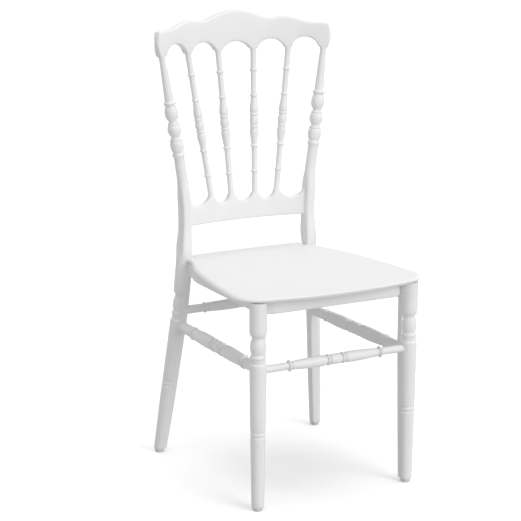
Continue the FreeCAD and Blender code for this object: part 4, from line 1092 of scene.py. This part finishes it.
def finish(name):
    """Material of a finish, made on its first use."""
    if name in bpy.data.materials:
        return bpy.data.materials[name]
    colour_here = getattr(bpy.context.scene.chair_finish, name)
    material = bpy.data.materials.new(name)
    material.use_nodes = True
    tree = material.node_tree
    shader = tree.nodes["Principled BSDF"]
    if name in RESIN_LOOKS:
        scale, drift, rough, depth = RESIN_LOOKS[name]
        group = add_node(tree, "ShaderNodeGroup", node_tree=resin_group(), values={
            "Colour": (*colour_here, 1), "Grain Scale": scale, "Drift": drift, "Roughness": rough})
        bump = add_node(tree, "ShaderNodeBump", {"Strength": depth, "Distance": RESIN_GRAIN_DISTANCE})
        shader.inputs["Specular IOR Level"].default_value = RESIN_SPECULAR
    else:
        tarnish = [METAL_TARNISH * part for part in colour_here]
        group = add_node(tree, "ShaderNodeGroup", node_tree=metal_group(), values={
            "Colour": (*colour_here, 1), "Tarnish": (*tarnish, 1)})
        bump = add_node(tree, "ShaderNodeBump", {"Strength": METAL_GRAIN,
                                                 "Distance": METAL_GRAIN_DISTANCE})
        shader.inputs["Metallic"].default_value = 1.0
    tree.links.new(group.outputs["Colour"], shader.inputs["Base Color"])
    tree.links.new(group.outputs["Roughness"], shader.inputs["Roughness"])
    tree.links.new(group.outputs["Height"], bump.inputs["Height"])
    tree.links.new(bump.outputs["Normal"], shader.inputs["Normal"])
    return material


# Stage

# Place, aim, roll, focal length and sensor width of the camera, in metres and Blender's units
CAMERA_PLACE = Vector((-1.734, -3.0586, 1.2782))
CAMERA_AIM = Vector((0.034, 0.1757, 0.3967))
CAMERA_ROLL = math.radians(0.15)
CAMERA_LENS = 124.17
CAMERA_SENSOR = 36
FLOOR_SIZE = 60


def seen_colour(tree, lit, seen, target):
    """Gives a socket one colour for the light that it throws and another where it is seen or
    mirrored, and returns the Light Path node."""
    paths = add_node(tree, "ShaderNodeLightPath")
    mix = add_node(tree, "ShaderNodeMix", {"A": (*lit, 1), "B": (*seen, 1)}, data_type="RGBA")
    either = add_node(tree, "ShaderNodeMath", operation="ADD", use_clamp=True)
    tree.links.new(paths.outputs["Is Camera Ray"], either.inputs[0])
    tree.links.new(paths.outputs["Is Glossy Ray"], either.inputs[1])
    tree.links.new(either.outputs["Value"], mix.inputs["Factor"])
    tree.links.new(mix.outputs["Result"], target)
    return paths


def floor_finish(look):
    """Matt floor that throws back less light than it shows, with its shadows lightened."""
    material = bpy.data.materials.new("floor")
    material.use_nodes = True
    tree = material.node_tree
    shader = tree.nodes["Principled BSDF"]
    shader.inputs["Roughness"].default_value = 1.0
    shader.inputs["Specular IOR Level"].default_value = 0.0
    shader.inputs["Emission Color"].default_value = (1, 1, 1, 1)
    paths = seen_colour(tree, look.floor_bounce, look.floor, shader.inputs["Base Color"])
    lift = add_node(tree, "ShaderNodeMath", {1: look.floor_lift}, operation="MULTIPLY")
    tree.links.new(paths.outputs["Is Camera Ray"], lift.inputs[0])
    tree.links.new(lift.outputs["Value"], shader.inputs["Emission Strength"])
    return material


class CHAIR_OT_stage(bpy.types.Operator):
    """Pale floor, soft studio light and a camera at the photograph's angle"""
    bl_idname = "chair.stage"
    bl_label = "Stage"

    def execute(self, context):
        scene = context.scene
        look = scene.chair_stage
        scene.view_settings.view_transform = "Standard"
        bpy.ops.object.select_all(action="DESELECT")
        bpy.ops.mesh.primitive_plane_add(size=FLOOR_SIZE, location=(0, 0, 0))
        floor = context.object
        floor.name = "floor"
        floor.data.materials.append(floor_finish(look))
        world = bpy.data.worlds.new("studio")
        scene.world = world
        world.use_nodes = True
        background = world.node_tree.nodes["Background"]
        seen_colour(world.node_tree, look.sky, look.backdrop, background.inputs["Color"])
        for name in ("key", "top", "fill"):
            place = Vector(getattr(look, name + "_from"))
            bpy.ops.object.light_add(type="SUN", location=place)
            lamp = context.object
            lamp.name = name
            lamp.rotation_euler = (-place).to_track_quat("-Z", "Y").to_euler()
            lamp.data.energy = getattr(look, name)
            lamp.data.angle = getattr(look, name + "_spread")
        bpy.ops.object.camera_add(location=CAMERA_PLACE)
        camera = context.object
        camera.name = "camera"
        turn = (CAMERA_AIM - CAMERA_PLACE).to_track_quat("-Z", "Y").to_matrix().to_4x4()
        roll = Matrix.Rotation(CAMERA_ROLL, 4, "Z")
        camera.matrix_world = Matrix.Translation(CAMERA_PLACE) @ turn @ roll
        camera.data.sensor_fit = "HORIZONTAL"
        camera.data.sensor_width = CAMERA_SENSOR
        camera.data.lens = CAMERA_LENS
        scene.camera = camera
        return {"FINISHED"}


# Sizes and colours a user may change

def length(name, description, default):
    return FloatProperty(name=name, description=description, default=default * MM, min=0.0,
                         unit="LENGTH", precision=4)


def colour(name, description, default):
    return FloatVectorProperty(name=name, description=description, default=default, size=3,
                               subtype="COLOR", min=0.0, max=1.0)


def strength(name, description, default):
    return FloatProperty(name=name, description=description, default=default, min=0.0)


def spread(name, description, degrees):
    return FloatProperty(name=name, description=description, default=math.radians(degrees),
                         subtype="ANGLE")


def direction(name, description, default):
    return FloatVectorProperty(name=name, description=description, default=default, size=3,
                               subtype="XYZ")


class LegSizes(bpy.types.PropertyGroup):
    front_top: length("Front leg", "Radius of a front leg under the seat", 16.7)
    front_calf: length("Front calf", "Radius of a front leg at its lower rings", 14.2)
    front_foot: length("Front foot", "Radius of a front leg at its glide", 12.3)


class BackSizes(bpy.types.PropertyGroup):
    crest_thickness: length("Crest thickness", "Thickness of the crest rail's ends", 14.0)
    crest_edge: length("Crest edge", "Softness of the crest rail's edges", 4.8)
    rail_thickness: length("Rail thickness", "Thickness of the lower back rail", 14.5)
    rail_edge: length("Rail edge", "Softness of the lower rail's edges", 4.5)
    spindle_neck: length("Spindle neck", "Radius of a spindle's plain lengths", 6.0)
    spindle_bead: length("Spindle bead", "Radius of a spindle's middle bead", 9.4)


class SeatSizes(bpy.types.PropertyGroup):
    edge: length("Side edge", "Softness of the seat's upper edge at its sides", 10.0)
    front_edge: length("Front edge", "Softness of the seat's upper edge at its front and rear", 1.2)
    apron_height: length("Apron height", "Height of the seat rails", 27.0)
    apron_thickness: length("Apron thickness", "Thickness of the side and rear seat rails", 18.0)
    apron_setback: length("Front setback", "Distance of the front rail behind the legs' middle", 4.8)


class StretcherSizes(bpy.types.PropertyGroup):
    cross_stub: length("Front stub", "Radius of the front stretcher's ends", 7.5)
    rear_stub: length("Rear stub", "Radius of the rear stretcher's ends", 8.8)
    cross_ring: length("Cross ring", "Radius of a front or rear stretcher's rings", 11.4)
    cross_waist: length("Cross waist", "Radius of a front or rear stretcher's middle", 10.4)
    cross_baluster: length("Cross baluster", "Radius of a front or rear stretcher's balusters", 10.6)
    side_stub: length("Side stub", "Radius of a side stretcher's ends", 11.2)
    side_ring: length("Side ring", "Radius of a side stretcher's rings", 13.8)
    side_waist: length("Side waist", "Radius of a side stretcher's middle", 12.8)
    side_baluster: length("Side baluster", "Radius of a side stretcher's balusters", 13.2)


class FinishLooks(bpy.types.PropertyGroup):
    frame: colour("Frame", "Satin white resin of the frame", (0.86, 0.86, 0.86))
    seat: colour("Seat", "Satin white resin of the seat", (0.86, 0.86, 0.86))
    brace: colour("Braces", "Unpolished resin of the corner braces", (0.70, 0.70, 0.69))
    glide: colour("Glides", "Hard plastic of the foot glides", (0.76, 0.76, 0.755))
    steel: colour("Steel", "Zinc-plated steel", (0.62, 0.62, 0.61))
    brass: colour("Brass", "Turned brass", (0.78, 0.60, 0.28))


class StageLook(bpy.types.PropertyGroup):
    floor: colour("Floor", "Colour of the floor", (1.0, 1.0, 1.0))
    floor_bounce: colour("Floor bounce", "Colour of the light that the floor throws back",
                         (0.57, 0.57, 0.57))
    floor_lift: strength("Floor lift", "Share of white that lightens the floor's shadows", 0.18)
    backdrop: colour("Backdrop", "Colour of the background above the floor", (1.0, 1.0, 1.0))
    sky: colour("Sky", "Even light from all round", (0.445, 0.445, 0.445))
    key: strength("Key", "Strength of the front light", 1.22)
    key_spread: spread("Key spread", "Angle that the front light fills", 38)
    key_from: direction("Key from", "Direction of the front light", (0.4, -1.0, 0.5))
    top: strength("Top", "Strength of the overhead light", 1.2)
    top_spread: spread("Top spread", "Angle that the overhead light fills", 60)
    top_from: direction("Top from", "Direction of the overhead light", (0.04, -0.03, 1.0))
    fill: strength("Fill", "Strength of the side light", 0.13)
    fill_spread: spread("Fill spread", "Angle that the side light fills", 80)
    fill_from: direction("Fill from", "Direction of the side light", (-0.9, -0.55, 0.22))


class CHAIR_PT_panel(bpy.types.Panel):
    """Makers and sizes of the chair"""
    bl_idname = "CHAIR_PT_panel"
    bl_label = "Resin chair"
    bl_space_type = "VIEW_3D"
    bl_region_type = "UI"
    bl_category = "Chair"

    def draw(self, context):
        for maker in MAKERS:
            self.layout.operator(maker.bl_idname)
        for holder, group in GROUPS.items():
            box = self.layout.box()
            for name in group.__annotations__:
                box.prop(getattr(context.scene, holder), name)


MAKERS = (CHAIR_OT_front_legs, CHAIR_OT_rear_posts, CHAIR_OT_crest_rail, CHAIR_OT_lower_rail,
          CHAIR_OT_spindles, CHAIR_OT_seat, CHAIR_OT_aprons, CHAIR_OT_stretchers, CHAIR_OT_glides,
          CHAIR_OT_hardware, CHAIR_OT_stage)
GROUPS = {"chair_legs": LegSizes, "chair_back": BackSizes, "chair_seat": SeatSizes,
          "chair_stretchers": StretcherSizes, "chair_finish": FinishLooks, "chair_stage": StageLook}


def register():
    for group in GROUPS.values():
        bpy.utils.register_class(group)
    for maker in MAKERS:
        bpy.utils.register_class(maker)
    bpy.utils.register_class(CHAIR_PT_panel)
    for holder, group in GROUPS.items():
        setattr(bpy.types.Scene, holder, PointerProperty(type=group))


def unregister():
    for holder in GROUPS:
        delattr(bpy.types.Scene, holder)
    for made in (CHAIR_PT_panel,) + MAKERS[::-1] + tuple(GROUPS.values())[::-1]:
        bpy.utils.unregister_class(made)


def main():
    register()
    bpy.ops.chair.front_legs()
    bpy.ops.chair.rear_posts()
    bpy.ops.chair.crest_rail()
    bpy.ops.chair.lower_rail()
    bpy.ops.chair.spindles()
    bpy.ops.chair.seat()
    bpy.ops.chair.aprons()
    bpy.ops.chair.stretchers()
    bpy.ops.chair.glides()
    bpy.ops.chair.hardware()
    bpy.ops.chair.stage()


if __name__ == "__main__":
    main()
